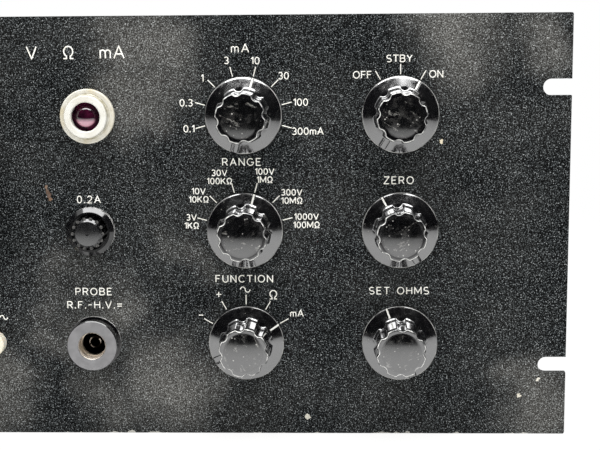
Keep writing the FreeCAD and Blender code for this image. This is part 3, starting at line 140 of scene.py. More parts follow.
def ragged(tree, place, size, detail, reach):
    """Places pushed about by noise, of a size and a reach in millimetres, so that edges there are ragged."""
    noise = add(tree, "TexNoise", {"Vector": place, "Scale": 1 / (size * mm), "Detail": detail})
    push = add(tree, "VectorMath", {0: noise.outputs["Color"], 1: (0.5, 0.5, 0.5)}, operation="SUBTRACT")
    moved = {0: push.outputs[0], 1: (reach * mm, 0, reach * mm), 2: place}
    return add(tree, "VectorMath", moved, operation="MULTIPLY_ADD").outputs[0]


def axis_distance(tree, place, centre):
    """How far each point of a piece is from an axis through the panel at a spot."""
    offset = add(tree, "VectorMath", {0: place, 1: tuple(centre)}, operation="SUBTRACT")
    flat = add(tree, "VectorMath", {0: offset.outputs[0], 1: (1, 0, 1)}, operation="MULTIPLY")
    return add(tree, "VectorMath", {0: flat.outputs[0]}, operation="LENGTH").outputs["Value"]


def surface(name, tones, patch, rough, grain, relief, metallic=0.0, ior=1.5, alpha=1.0):
    """Starts a material: a colour that drifts between two tones, with fine grain in its gloss and relief.

    patch and grain are the sizes of the colour patches and of the grain, and relief the height of the
    grain, all in millimetres. rough holds the roughness of the smoothest and the roughest spots.
    Returns the material, its shader, the place on the piece, and the colour's output.
    """
    made, tree, shader = blank(name)
    shader.inputs["Metallic"].default_value = metallic
    shader.inputs["Alpha"].default_value = alpha
    if not metallic:
        shader.inputs["IOR"].default_value = ior
    place = add(tree, "TexCoord").outputs["Object"]
    drift = patches(tree, place, patch, (0.35, 0.65))
    ends = {0: drift, 6: linear(tones[0]), 7: linear(tones[1])}
    colour = add(tree, "Mix", ends, data_type="RGBA").outputs[2]
    fine = add(tree, "TexNoise", {"Vector": place, "Scale": 1 / (grain * mm), "Detail": 2.0}).outputs["Fac"]
    gloss = add(tree, "MapRange", {"Value": fine, 1: 0.3, 2: 0.7, 3: rough[0], 4: rough[1]})
    bump = add(tree, "Bump", {"Height": fine, "Distance": relief * mm, "Strength": 1.0})
    tree.links.new(colour, shader.inputs["Base Color"])
    tree.links.new(gloss.outputs[0], shader.inputs["Roughness"])
    tree.links.new(bump.outputs[0], shader.inputs["Normal"])
    return made, shader, place, colour


def lay(data, materials):
    """Gives a mesh its materials, in place of those it had."""
    data.materials.clear()
    for material in materials:
        data.materials.append(material)


def finish_nodes(material, *names):
    """Gives nodes of the part one finish all over."""
    for name in names:
        lay(nodes[name].data, [material])


def finish_parts(name, rule, materials):
    """Gives each loose part of a node the material whose number the rule finds from the part's box."""
    data = nodes[name].data
    lay(data, materials)
    first = {}
    owner = list(range(len(data.vertices)))

    def root(index):
        """The vertex that stands for the loose part of a vertex."""
        while owner[index] != index:
            owner[index] = owner[owner[index]]
            index = owner[index]
        return index

    # Vertices at the same spot, to a micrometre, belong together
    for vertex in data.vertices:
        spot = tuple(round(c * 1e6) for c in vertex.co)
        owner[root(vertex.index)] = root(first.setdefault(spot, vertex.index))
    for face in data.polygons:
        for index in face.vertices[1:]:
            owner[root(index)] = root(face.vertices[0])
    boxes = {}
    for vertex in data.vertices:
        low, high = boxes.setdefault(root(vertex.index), (vertex.co.copy(), vertex.co.copy()))
        for axis in range(3):
            low[axis] = min(low[axis], vertex.co[axis])
            high[axis] = max(high[axis], vertex.co[axis])
    for face in data.polygons:
        face.material_index = rule(*boxes[root(face.vertices[0])])


def finish_faces(name, rule, materials):
    """Gives each face of a node the material whose number the rule finds from the face's middle."""
    data = nodes[name].data
    lay(data, materials)
    for face in data.polygons:
        face.material_index = rule(face.center)


def axis_reach(spot, centre):
    """How far a spot is from an axis through the panel."""
    return math.hypot(spot.x - centre.x, spot.z - centre.z)


def piece(name, data, material, body, place):
    """Adds a piece to the scene, finished, riding on a body of the part."""
    made = bpy.data.objects.new(name, data)
    bpy.context.scene.collection.objects.link(made)
    if not data.materials:
        data.materials.append(material)
    made.matrix_world = place
    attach(made, body)
    return made


def on_panel(spot, turn):
    """Where a piece drawn in X and Y, with Z out of the panel, goes at a spot on the panel's front."""
    out = Matrix.Rotation(math.radians(90), 4, "X")
    return Matrix.Translation(spot) @ out @ Matrix.Rotation(math.radians(turn), 4, "Z")


# Engraver's alphabet: each letter's width and strokes, for a letter one unit high


def bow(x, y, across, up, start, end):
    """Points along an arc of an ellipse, from one angle to another in degrees."""
    steps = max(3, round(abs(end - start) / 15))
    turns = [math.radians(start + (end - start) * n / steps) for n in range(steps + 1)]
    return [(x + across * math.cos(t), y + up * math.sin(t)) for t in turns]


p_bowl = [(0, 0), (0, 1), (0.38, 1)] + bow(0.38, 0.74, 0.28, 0.26, 90, -90) + [(0, 0.48)]
letters = {
    " ": (0.35, []),
    ".": (0.05, [[(0.02, -0.06), (0.02, 0.14)]]),
    "-": (0.5, [[(0, 0.5), (0.5, 0.5)]]),
    "+": (0.6, [[(0, 0.5), (0.6, 0.5)], [(0.3, 0.2), (0.3, 0.8)]]),
    "=": (0.7, [[(0, 0.62), (0.7, 0.62)], [(0, 0.3), (0.7, 0.3)]]),
    "~": (1.1, [bow(0.275, 0.5, 0.275, 0.3, 180, 0) + bow(0.825, 0.5, 0.275, 0.3, 180, 360)]),
    "Ω": (0.84, [[(0, 0), (0.26, 0), (0.26, 0.14)] + bow(0.42, 0.58, 0.38, 0.42, 245, -65)
                 + [(0.58, 0.14), (0.58, 0), (0.84, 0)]]),
    "0": (0.62, [bow(0.31, 0.5, 0.31, 0.5, 90, 450)]),
    "1": (0.28, [[(0, 0.78), (0.28, 1), (0.28, 0)]]),
    "2": (0.6, [bow(0.3, 0.7, 0.3, 0.3, 165, -35) + [(0, 0), (0.6, 0)]]),
    "3": (0.58, [bow(0.28, 0.75, 0.27, 0.25, 150, -90) + bow(0.28, 0.25, 0.3, 0.25, 90, -150)]),
    "4": (0.62, [[(0.48, 0), (0.48, 1), (0, 0.3), (0.62, 0.3)]]),
    "5": (0.6, [[(0.55, 1), (0.1, 1), (0.05, 0.56)] + bow(0.28, 0.32, 0.32, 0.32, 130, -150)]),
    "6": (0.6, [[(0.5, 1), (0.07, 0.45)] + bow(0.3, 0.3, 0.3, 0.3, 150, 510)]),
    "8": (0.58, [bow(0.29, 0.76, 0.25, 0.24, -90, 270) + bow(0.29, 0.26, 0.29, 0.26, 90, 450)]),
    "A": (0.84, [[(0, 0), (0.42, 1), (0.84, 0)], [(0.15, 0.35), (0.69, 0.35)]]),
    "B": (0.7, [[(0, 0), (0, 1), (0.38, 1)] + bow(0.38, 0.765, 0.27, 0.235, 90, -90) + [(0, 0.53)],
                [(0.38, 0.53)] + bow(0.4, 0.265, 0.3, 0.265, 90, -90) + [(0, 0)]]),
    "C": (0.8, [bow(0.46, 0.5, 0.46, 0.5, 45, 315)]),
    "E": (0.62, [[(0.62, 0), (0, 0), (0, 1), (0.62, 1)], [(0, 0.52), (0.52, 0.52)]]),
    "F": (0.6, [[(0, 0), (0, 1), (0.6, 1)], [(0, 0.52), (0.5, 0.52)]]),
    "G": (0.9, [bow(0.46, 0.5, 0.46, 0.5, 45, 345) + [(0.9, 0.45), (0.55, 0.45)]]),
    "H": (0.74, [[(0, 0), (0, 1)], [(0.74, 0), (0.74, 1)], [(0, 0.52), (0.74, 0.52)]]),
    "I": (0.02, [[(0.01, 0), (0.01, 1)]]),
    "K": (0.7, [[(0, 0), (0, 1)], [(0.68, 1), (0, 0.38)], [(0.24, 0.6), (0.7, 0)]]),
    "M": (0.94, [[(0, 0), (0, 1), (0.47, 0.2), (0.94, 1), (0.94, 0)]]),
    "N": (0.76, [[(0, 0), (0, 1), (0.76, 0), (0.76, 1)]]),
    "O": (0.92, [bow(0.46, 0.5, 0.46, 0.5, 90, 450)]),
    "P": (0.66, [p_bowl]),
    "R": (0.7, [p_bowl, [(0.36, 0.48), (0.7, 0)]]),
    "S": (0.66, [bow(0.33, 0.74, 0.32, 0.26, 40, 270) + bow(0.33, 0.24, 0.33, 0.24, 90, -140)]),
    "T": (0.76, [[(0, 1), (0.76, 1)], [(0.38, 1), (0.38, 0)]]),
    "U": (0.74, [[(0, 1), (0, 0.36)] + bow(0.37, 0.36, 0.37, 0.36, 180, 360) + [(0.74, 1)]]),
    "V": (0.82, [[(0, 1), (0.41, 0), (0.82, 1)]]),
    "Y": (0.78, [[(0, 1), (0.39, 0.48), (0.78, 1)], [(0.39, 0.48), (0.39, 0)]]),
    "Z": (0.72, [[(0, 1), (0.72, 1), (0, 0), (0.72, 0)]]),
    "m": (0.84, [[(0, 0), (0, 0.68)], [(0, 0.45)] + bow(0.21, 0.45, 0.21, 0.23, 180, 0) + [(0.42, 0)],
                 [(0.42, 0.45)] + bow(0.63, 0.45, 0.21, 0.23, 180, 0) + [(0.84, 0)]]),
}


def word_width(text, gap):
    """The width of a word one unit high."""
    return sum(letters[c][0] for c in text) + gap * (len(text) - 1)


def word_strokes(text, height, x, z, gap, lean=0.0):
    """The strokes of a word whose middle is at x and z, turned by an angle in radians."""
    strokes = []
    pen = -word_width(text, gap) / 2
    for letter in text:
        width, lines = letters[letter]
        for line in lines:
            turned = []
            for a, b in line:
                across, up = (pen + a) * height, (b - 0.5) * height
                turned.append((x + across * math.cos(lean) - up * math.sin(lean),
                               z + across * math.sin(lean) + up * math.cos(lean)))
            strokes.append(turned)
        pen += width + gap
    return strokes


def straight_runs(stroke, past):
    """A stroke parted at its corners, into runs that keep their full width and go a little past them."""
    sharp = math.radians(60)
    corners = [0]
    for n in range(1, len(stroke) - 1):
        before, here, after = (Vector(stroke[k]) for k in (n - 1, n, n + 1))
        if (here - before).angle(after - here, 0.0) > sharp:
            corners.append(n)
    corners.append(len(stroke) - 1)
    runs = []
    for first, last in zip(corners, corners[1:]):
        run = [Vector(point) for point in stroke[first:last + 1]]
        ends = []
        for end, inner, cut in ((run[0], run[1], first > 0), (run[-1], run[-2], last < len(stroke) - 1)):
            ends.append(end + (end - inner).normalized() * past if cut else end)
        runs.append([ends[0], *run[1:-1], ends[1]])
    return runs


def stroke_piece(name, strokes, width, level, material):
    """Adds lettering as flat strokes of one width on an upright face, each a line of points in X and Z."""
    past, flatness = 0.35 * width, 0.3
    curve = bpy.data.curves.new(name, "CURVE")
    curve.dimensions = "3D"
    curve.bevel_depth = width / 2
    curve.bevel_resolution = 1
    curve.use_fill_caps = True
    for run in [run for stroke in strokes for run in straight_runs(stroke, past)]:
        line = curve.splines.new("POLY")
        line.points.add(len(run) - 1)
        for point, (x, z) in zip(line.points, run):
            point.co = (x, 0.0, z, 1.0)
    flat = Matrix.Translation((0, level, 0)) @ Matrix.Diagonal((1, flatness, 1, 1))
    return piece(name, curve, material, "chassis", flat)


# Finishes


# Plain finishes: the two tones of each, the size of their patches, the least and the greatest roughness, the
# grain's size and height, and for some how metallic they are, their index of refraction and their opacity
plain_finishes = {
    # Off-white enamel wiped into engraved lines, dull and slightly uneven with age
    "engraving_white_enamel": (("fbfaf4", "e6e3d9"), 3, (0.45, 0.65), 0.5, 0.02),
    # Grey stoved enamel sprayed on sheet steel: satin, with a fine orange peel and faint rubbed patches
    "grey_stove_enamel": (("606567", "696e70"), 60, (0.34, 0.5), 1.4, 0.06),
    # Matt white enamel sprayed on a thin metal dial, slightly creamed with age
    "matt_dial_enamel": (("eae5d5", "e0d8c2"), 30, (0.55, 0.7), 0.3, 0.01),
    # Black printing ink on the dial, thin and flat
    "black_dial_ink": (("151515", "191919"), 2, (0.5, 0.65), 0.3, 0.005),
    # Red printing ink on the dial, as thin and flat
    "red_dial_ink": (("8d1e19", "911f1b"), 2, (0.5, 0.65), 0.3, 0.005),
    # Black lacquer on the needle, matt so that it throws no glare
    "needle_black_lacquer": (("0f0f10", "111112"), 2, (0.5, 0.65), 0.3, 0.005),
    # Dark grey paint on cast magnet steel, with the casting's pits showing through
    "painted_cast_magnet": (("34363a", "44464a"), 6, (0.4, 0.6), 0.9, 0.08),
    # Zinc plated and passivated sheet steel: dull silver, with pale yellow clouds from the passivating bath
    "passivated_sheet_steel": (("b5b3ab", "aba694"), 26, (0.32, 0.5), 0.5, 0.01, 1.0),
    # Nickel plated turned steel, bright with fine turning marks
    "bright_nickel_steel": (("c9c8c4", "a9a7a2"), 5, (0.16, 0.34), 0.25, 0.008, 1.0),
    # Nickelled brass, worn to the yellow metal in places by plugs
    "worn_nickelled_brass": (("d2b876", "c3bba4"), 4, (0.18, 0.36), 0.3, 0.01, 1.0),
    # Plain drawn aluminium, satin with fine die lines
    "drawn_aluminium": (("c4c6c7", "aeb0b1"), 12, (0.28, 0.45), 0.4, 0.01, 1.0),
    # Bakelite edges rubbed by fingers until the filler shows here and there, as a thin pale line, which is
    # also a painted highlight of the light along the edge
    "bakelite_edge_wear_and_painted_glint": (("4a4a4a", "e2e1de"), 2.2, (0.25, 0.4), 0.4, 0.02, 0.0, 1.9),
    # The rims of the knobs' skirts, rubbed less, so that long stretches are still black, with a painted
    # highlight where they are pale
    "bakelite_rim_wear_and_painted_glint": (("0c0c0d", "b8b7b4"), 9, (0.25, 0.4), 0.4, 0.02, 0.0, 1.9),
    # The ends of the fuse cap's ribs, worn to a dull grey, with painted glints in patches
    "bakelite_rib_wear_and_painted_glints": (("121213", "5e5d5a"), 0.9, (0.25, 0.4), 0.4, 0.02, 0.0, 1.9),
    # Black phenolic with a machined face, painted a satin grey as a painted reflection of the pale floor in
    # front
    "black_phenolic_painted_reflection": (("6a696b", "7b7a7c"), 5, (0.3, 0.42), 0.35, 0.01, 0.0, 1.9),
    # Black phenolic, moulded and dulled by handling, so that what it reflects is softened
    "handled_black_phenolic": (("0c0c0d", "18181a"), 5, (0.2, 0.32), 0.5, 0.01, 0.0, 2.4),
    # Brown paper phenolic sheet, pressed and punched, with a woven-looking mottle
    "brown_paper_phenolic": (("6b431f", "845629"), 3, (0.35, 0.5), 0.4, 0.02),
    # Dark brown moulded phenolic, with wood flour showing as fine mottling
    "moulded_brown_phenolic": (("241510", "372119"), 1.5, (0.25, 0.4), 0.5, 0.015),
    # Carbonised nickel anodes, sooty grey and quite matt
    "carbonised_nickel": (("2b2b2c", "3d3d3e"), 4, (0.55, 0.75), 0.4, 0.02),
    # Brown lacquered resistor bodies, dipped, with a slight orange peel
    "dipped_brown_lacquer": (("7b4126", "8f5130"), 4, (0.25, 0.4), 0.6, 0.03),
    # Moulded black rubber, bloomed grey with age
    "bloomed_black_rubber": (("1a1a1a", "2c2c2b"), 4, (0.6, 0.8), 0.4, 0.03),
    # Clear glass, with the faint ripple of blown and drawn work
    "clear_drawn_glass": (("f4f8f6", "eaf1ee"), 14, (0.01, 0.05), 9.0, 0.02, 0.0, 1.8, 0.14),
}


def plain(name):
    """A plain finish, made when it is first asked for."""
    return bpy.data.materials.get(name) or surface(name, *plain_finishes[name])[0]


def black_wrinkle_enamel():
    """Black wrinkle enamel, sprayed on aluminium and stoved until its skin puckers.

    It gives a fine grain of black hollows and crests painted grey as glints of the light, cloudy with old
    dust and painted sheen, and bare metal where the panel's lower edge is chipped.
    """
    made, tree, shader = blank("black_wrinkle_enamel")
    place = add(tree, "TexCoord").outputs["Object"]
    shader.inputs["Specular IOR Level"].default_value = 0.1
    gloss = patches(tree, place, 0.8, (0.3, 0.7), (0.5, 0.7), 2.0)
    tree.links.new(gloss, shader.inputs["Roughness"])
    # Wrinkles of about 0.6 mm, broken by finer ones
    wrinkles = {"Vector": place, "Scale": 1 / (0.62 * mm), "Detail": 2.0, "Roughness": 0.6}
    pucker = add(tree, "TexNoise", wrinkles).outputs["Fac"]
    # The crests are painted grey to pale grey, as painted glints of the light on the wrinkles
    painted_crest_glints = add(tree, "ValToRGB", {"Fac": pucker})
    stops = [(0.38, "000000"), (0.47, "050607"), (0.55, "1d2021"), (0.64, "5a5f61"), (0.74, "b2b4b4")]
    ramp = painted_crest_glints.color_ramp
    while len(ramp.elements) < len(stops):
        ramp.elements.new(0.5)
    for element, (at, code) in zip(ramp.elements, stops):
        element.position = at
        element.color = linear(code)
    # Dust and painted sheen lie in ragged patches, over faint clouds of about 45 mm
    drifted = ragged(tree, place, 45, 4.0, 85)
    haze = patches(tree, place, 45, (0.4, 0.7), (0.0, 0.16), 4.0)
    for x, z, radius, strength in dust_and_sheen_patches:
        far = axis_distance(tree, drifted, (x * mm, 0, z * mm))
        spread = add(tree, "MapRange", {"Value": far, 1: 0.0, 2: radius * mm, 3: strength, 4: 0.0},
                     interpolation_type="SMOOTHSTEP")
        haze = add(tree, "Math", {0: haze, 1: spread.outputs[0]}, operation="MAXIMUM").outputs[0]
    # Dust and painted sheen lie on the crests more than in the hollows
    lumpy = add(tree, "MapRange", {"Value": pucker, 1: 0.36, 2: 0.64, 3: 0.15, 4: 1.0})
    sheen_and_dust = add(tree, "Math", {0: haze, 1: lumpy.outputs[0]}, operation="MULTIPLY")
    layer = {0: sheen_and_dust.outputs[0], 6: painted_crest_glints.outputs["Color"], 7: linear("706e6a")}
    colour = add(tree, "Mix", layer, data_type="RGBA", blend_type="ADD").outputs[2]
    # Pale nicks of about 1 mm, some 25 mm apart
    nick = add(tree, "TexVoronoi", {"Vector": place, "Scale": 1 / (25 * mm), "Randomness": 1.0})
    nicked = add(tree, "MapRange", {"Value": nick.outputs["Distance"], 1: 0.018, 2: 0.03, 3: 1.0, 4: 0.0})
    layer = {0: nicked.outputs[0], 6: colour, 7: linear("c4bdac")}
    colour = add(tree, "Mix", layer, data_type="RGBA").outputs[2]
    # Larger nicks with torn edges
    torn = ragged(tree, place, 1.5, 3.0, 3)
    for x, z, radius, code in panel_nicks:
        far = axis_distance(tree, torn, (x * mm, 0, z * mm))
        inside = add(tree, "Math", {0: far, 1: radius * mm}, operation="LESS_THAN")
        layer = {0: inside.outputs[0], 6: colour, 7: linear(code)}
        colour = add(tree, "Mix", layer, data_type="RGBA").outputs[2]
    # Chips up to 2 mm high along the lower edge
    height = add(tree, "SeparateXYZ", {0: place}).outputs["Z"]
    reach = patches(tree, place, 7, (0.48, 0.8), (-0.5 * mm, 2.0 * mm), 4.0)
    bare = add(tree, "Math", {0: height, 1: reach}, operation="LESS_THAN")
    layer = {0: bare.outputs[0], 6: colour, 7: linear("a9a8a2")}
    colour = add(tree, "Mix", layer, data_type="RGBA").outputs[2]
    tree.links.new(colour, shader.inputs["Base Color"])
    bump = add(tree, "Bump", {"Height": pucker, "Distance": 0.3 * mm, "Strength": 0.8})
    tree.links.new(bump.outputs[0], shader.inputs["Normal"])
    return made


def dust_specks(tree, place, colour, tone, reach):
    """A colour under dust specks, some 2 mm apart and of a radius that is a share, reach, of that."""
    specks = add(tree, "TexVoronoi", {"Vector": place, "Scale": 1 / (2.1 * mm), "Randomness": 1.0})
    spot = add(tree, "MapRange", {"Value": specks.outputs["Distance"], 1: 0.05, 2: reach, 3: 1.0, 4: 0.0})
    some = patches(tree, place, 3, (0.5, 0.65))
    dust = add(tree, "Math", {0: spot.outputs[0], 1: some}, operation="MULTIPLY")
    layer = {0: dust.outputs[0], 6: colour, 7: linear(tone)}
    return add(tree, "Mix", layer, data_type="RGBA").outputs[2]


def polished_bakelite(name, ior, coat_ior):
    """Black phenolic, compression moulded in a polished die.

    It gives a deep black with sharp reflections, broken by specks of dust.
    """
    made, shader, place, colour = surface(name, ("08080a", "111112"), 9, (0.1, 0.22), 3.0, 0.01, ior=ior)
    tree = made.node_tree
    shader.inputs["Coat Weight"].default_value = 1.0
    shader.inputs["Coat Roughness"].default_value = 0.06
    shader.inputs["Coat IOR"].default_value = coat_ior
    dusty = dust_specks(tree, place, colour, "8f8d86", 0.14)
    tree.links.new(dusty, shader.inputs["Base Color"])
    return made


def thumbed_bakelite():
    """The bakelite of the knobs' faces, dulled by thumbs.

    It gives a soft reflection under a patchy grey film, different on each knob, and specks of dust.
    """
    made, shader, place, colour = surface(
        "thumbed_black_bakelite", ("060607", "0f0f10"), 5, (0.12, 0.22), 2.5, 0.01, ior=2.6)
    tree = made.node_tree
    shader.inputs["Coat Weight"].default_value = 0.35
    shader.inputs["Coat Roughness"].default_value = 0.1
    shader.inputs["Coat IOR"].default_value = 1.7
    # Film in patches of about 6 mm, which dulls the gloss too
    own = add(tree, "ObjectInfo").outputs["Random"]
    moved = add(tree, "VectorMath", {0: place, 1: own}, operation="ADD").outputs[0]
    thick = patches(tree, moved, 6, (0.52, 0.8), (0.0, 0.26), 5.0, 0.65)
    layer = {0: thick, 6: colour, 7: linear("74726e")}
    filmed = add(tree, "Mix", layer, data_type="RGBA").outputs[2]
    dull = patches(tree, moved, 6, (0.4, 0.7), (0.1, 0.24), 5.0, 0.65)
    tree.links.new(dull, shader.inputs["Roughness"])
    # Pale smears about 3 mm wide and 9 mm long, partly smudges and partly a painted highlight
    drawn = add(tree, "Mapping", {"Vector": moved, "Scale": (3.0, 1.0, 1.0)}).outputs[0]
    smear_and_highlight = patches(tree, drawn, 9, (0.59, 0.68), (0.0, 0.6), 6.0, 0.7)
    layer = {0: smear_and_highlight, 6: filmed, 7: linear("a9a7a2")}
    smeared_and_highlit = add(tree, "Mix", layer, data_type="RGBA").outputs[2]
    tree.links.new(dust_specks(tree, moved, smeared_and_highlit, "dcdad4", 0.22), shader.inputs["Base Color"])
    return made


def ivory_urea():
    """Ivory urea resin, compression moulded and yellowed with age.

    It gives a soft satin white, browner in places, with light bleeding a little into it.
    """
    made, shader, _, _ = surface(
        "aged_ivory_urea", ("ebe6d8", "ddd5bf"), 7, (0.3, 0.45), 0.9, 0.02, ior=1.55)
    shader.inputs["Subsurface Weight"].default_value = 0.15
    shader.inputs["Subsurface Radius"].default_value = (0.002, 0.0015, 0.001)
    return made


def soiled_ivory(centre, step):
    """The lamp bezel's ivory, stained outside its raised ring, with painted shade and dirt in the corner
    under it.
    """
    made, shader, place, colour = surface(
        "soiled_and_shaded_ivory_urea", ("dfded8", "d4d1c7"), 7, (0.3, 0.45), 0.9, 0.02, ior=1.55)
    tree = made.node_tree
    far = axis_distance(tree, place, centre)
    outside = add(tree, "MapRange", {"Value": far, 1: step - 0.2 * mm, 2: step + 0.3 * mm})
    # A dark line round the corner under the raised ring, painted as shade and dirt
    corner = add(tree, "Math", {0: far, 1: step, 2: 0.45 * mm}, operation="COMPARE")
    stain = patches(tree, place, 8, (0.42, 0.68), (0.12, 0.9), 4.0)
    blotch = patches(tree, place, 5, (0.35, 0.65), (0.15, 0.9))
    for where, how_much, code in ((outside, stain, "c9bfa4"), (corner, blotch, "8c8467")):
        share = add(tree, "Math", {0: where.outputs[0], 1: how_much}, operation="MULTIPLY")
        layer = {0: share.outputs[0], 6: colour, 7: linear(code)}
        colour = add(tree, "Mix", layer, data_type="RGBA").outputs[2]
    tree.links.new(colour, shader.inputs["Base Color"])
    return made


def amethyst_glass(centre, radius):
    """Amethyst pressed glass, fire polished, over a dark lamp.

    It gives a nearly black dome with sharp highlights, in whose lower half a plum crescent is painted into
    the colour as painted light from above gathering in the glass, inside a dark rim.
    """
    made, shader, place, colour = surface(
        "amethyst_pressed_glass", ("3a0d23", "180510"), 4, (0.03, 0.08), 2.0, 0.01)
    tree = made.node_tree
    shader.inputs["Coat Roughness"].default_value = 0.02
    shader.inputs["Coat IOR"].default_value = 2.0
    far = axis_distance(tree, place, centre)
    offset = add(tree, "VectorMath", {0: place, 1: tuple(centre)}, operation="SUBTRACT")
    level = add(tree, "SeparateXYZ", {0: offset.outputs[0]}).outputs["Z"]
    # A pale plum crescent painted into the colour low in the dome: painted light from above
    below = add(tree, "MapRange", {"Value": level, 1: -0.12 * radius, 2: -0.42 * radius})
    inside = add(tree, "MapRange", {"Value": far, 1: 0.72 * radius, 2: 0.82 * radius, 3: 1.0, 4: 0.0})
    glow = add(tree, "Math", {0: below.outputs[0], 1: inside.outputs[0]}, operation="MULTIPLY")
    layer = {0: glow.outputs[0], 6: colour, 7: linear("b98595")}
    lit = add(tree, "Mix", layer, data_type="RGBA")
    tree.links.new(lit.outputs[2], shader.inputs["Base Color"])
    # The gloss fades out towards the rim, as painted shade from the bezel's recess
    for socket, strongest in (("Coat Weight", 1.0), ("Specular IOR Level", 0.5)):
        fade = add(tree, "MapRange", {"Value": far, 1: 0.6 * radius, 2: 0.76 * radius, 3: strongest, 4: 0.05})
        tree.links.new(fade.outputs[0], shader.inputs[socket])
    return made


def tarnished_silver(mouth):
    """Silver plate inside the probe socket, pale near its mouth, with painted shade turning it nearly black
    farther in.
    """
    made, shader, place, colour = surface(
        "silver_plate_with_painted_shade", ("f3ece2", "ddd2c4"), 3, (0.6, 0.75), 0.5, 0.02, metallic=1.0)
    tree = made.node_tree
    depth = add(tree, "SeparateXYZ", {0: place}).outputs["Y"]
    # The painted shade starts about 9 mm behind the mouth, in a ragged line
    wave = add(tree, "TexNoise", {"Vector": place, "Scale": 1 / (2.5 * mm), "Detail": 3.0}).outputs["Fac"]
    uneven = add(tree, "Math", {0: wave, 1: 6 * mm, 2: depth}, operation="MULTIPLY_ADD")
    edge = {"Value": uneven.outputs[0], 1: mouth + 11.5 * mm, 2: mouth + 12.5 * mm}
    layer = {0: add(tree, "MapRange", edge).outputs[0], 6: colour, 7: linear("1d1712")}
    painted_shade = add(tree, "Mix", layer, data_type="RGBA")
    tree.links.new(painted_shade.outputs[2], shader.inputs["Base Color"])
    return made


def core_laminations():
    """Varnished core laminations, stacked front to back, their edges showing as fine lines.

    The sheets of 0.5 mm are drawn as bands of about 0.9 mm, to show in a picture.
    """
    made, shader, place, colour = surface(
        "varnished_laminations", ("3a2f28", "54463b"), 8, (0.35, 0.55), 0.6, 0.03)
    tree = made.node_tree
    bands = {"Vector": place, "Scale": 1 / (3 * mm), "Distortion": 0.4}
    lines = add(tree, "TexWave", bands, wave_type="BANDS", bands_direction="Y").outputs["Fac"]
    bump = add(tree, "Bump", {"Height": lines, "Distance": 0.2 * mm, "Strength": 0.7})
    tree.links.new(bump.outputs[0], shader.inputs["Normal"])
    layer = {0: lines, 6: colour, 7: linear("251d18")}
    banded = add(tree, "Mix", layer, data_type="RGBA", blend_type="MULTIPLY")
    tree.links.new(banded.outputs[2], shader.inputs["Base Color"])
    return made


def varnished_wrap():
    """Varnished cotton tape over the winding, amber, with the tape's 0.8 mm weave."""
    made, shader, place, _ = surface(
        "varnished_cotton_tape", ("a5752f", "7f561f"), 10, (0.4, 0.6), 0.8, 0.05)
    tree = made.node_tree
    weave = add(tree, "TexChecker", {"Vector": place, "Scale": 1 / (0.8 * mm)})
    bump = add(tree, "Bump", {"Height": weave.outputs["Fac"], "Distance": 0.1 * mm, "Strength": 0.6})
    tree.links.new(bump.outputs[0], shader.inputs["Normal"])
    return made


# Settings


def length(name, description, value):
    """A setting that is a length, with its value in millimetres."""
    return bpy.props.FloatProperty(name=name, description=description, default=value * mm, unit="LENGTH")


class KnobSettings(bpy.types.PropertyGroup):
    """Sizes of the moulded knobs."""

    gap: length("Gap", "Space between the panel and the skirt", 0.6)
    skirt_radius: length("Skirt radius", "Radius of the knob's skirt", 19.9)
    base_radius: length("Cap base radius", "Radius of the cap where it meets the skirt", 13.4)
    top_radius: length("Cap top radius", "Radius of the cap at its top edge", 12.9)
    face_radius: length("Face radius", "Radius of the domed disc on the cap", 10.4)
    height: length("Height", "Height of the cap's face above the panel", 24.5)
    line_width: length("Pointer line", "Width of the white line in the pointer's groove", 1.0)


class LetteringSettings(bpy.types.PropertyGroup):
    """Sizes of the panel's engraved lettering."""

    stroke: length("Stroke", "Width of an engraved line", 0.58)
    title_stroke: length("Title stroke", "Width of the title's engraved lines", 0.75)
    figure: length("Figures", "Height of the figures round the knobs", 3.4)
    small_figure: length("Small figures", "Height of the two-line figures", 3.0)
    symbol: length("Symbols", "Height of the single symbols round a knob", 4.6)
    word: length("Words", "Height of the words over the controls", 3.6)
    unit: length("Unit", "Height of the unit over the current range knob", 4.2)
    title: length("Title", "Height of the unit symbols at the top of the panel", 6.2)
    tick_start: length("Tick start", "Radius at which a mark round a knob starts", 20.6)
    tick_end: length("Tick end", "Radius at which a mark round a knob ends", 25.8)


class StudioSettings(bpy.types.PropertyGroup):
    """The camera, lamps and backdrop."""

    camera_place: bpy.props.FloatVectorProperty(
        name="Camera", description="Where the camera stands", default=(0.12389, -0.67272, 0.216),
        subtype="TRANSLATION", unit="LENGTH")
    camera_turn: bpy.props.FloatVectorProperty(
        name="Camera turn", description="How the camera is turned", subtype="EULER", unit="ROTATION",
        default=(math.radians(81.254), math.radians(0.445), math.radians(1.835)))
    lens: bpy.props.FloatProperty(
        name="Lens", description="Focal length in millimetres on a 36 mm sensor", default=77.931)
    key_power: bpy.props.FloatProperty(
        name="Key lamp", description="Power of the large lamp above the front", default=37.0, unit="POWER")
    top_power: bpy.props.FloatProperty(
        name="Top lamp", description="Power of the lamp over the instrument", default=10.0, unit="POWER")
    sky: bpy.props.FloatProperty(
        name="Sky", description="Strength of the even light from all round", default=0.5)
    floor_colour: bpy.props.FloatVectorProperty(
        name="Floor", description="Colour of the floor", default=linear("f2f2f0")[:3], subtype="COLOR")
    card_colour: bpy.props.FloatVectorProperty(
        name="Dark card", description="Colour of the dark card by the camera", subtype="COLOR",
        default=linear("08080a")[:3])


# Knobs


# The height of the skirt's rim, the skirt's rise from there to the cap, and the rise of the cap's domed face
rim_height, skirt_rise, dome_rise = 1.2 * mm, 3.4 * mm, 0.9 * mm
# The pointer's groove: half its width, its depth, and how far below the skirt its white filling's edges lie
groove_half, groove_depth, filling_depth = 0.9 * mm, 0.6 * mm, 0.66 * mm
# The round trough that leads to the set screw: half its width, its radius, and how far its axis is raised
trough_half, trough_radius, trough_axis = 2.13 * mm, 2.8 * mm, 1.8 * mm
# Edges that turn by more than this are sharp
crease = math.radians(38)


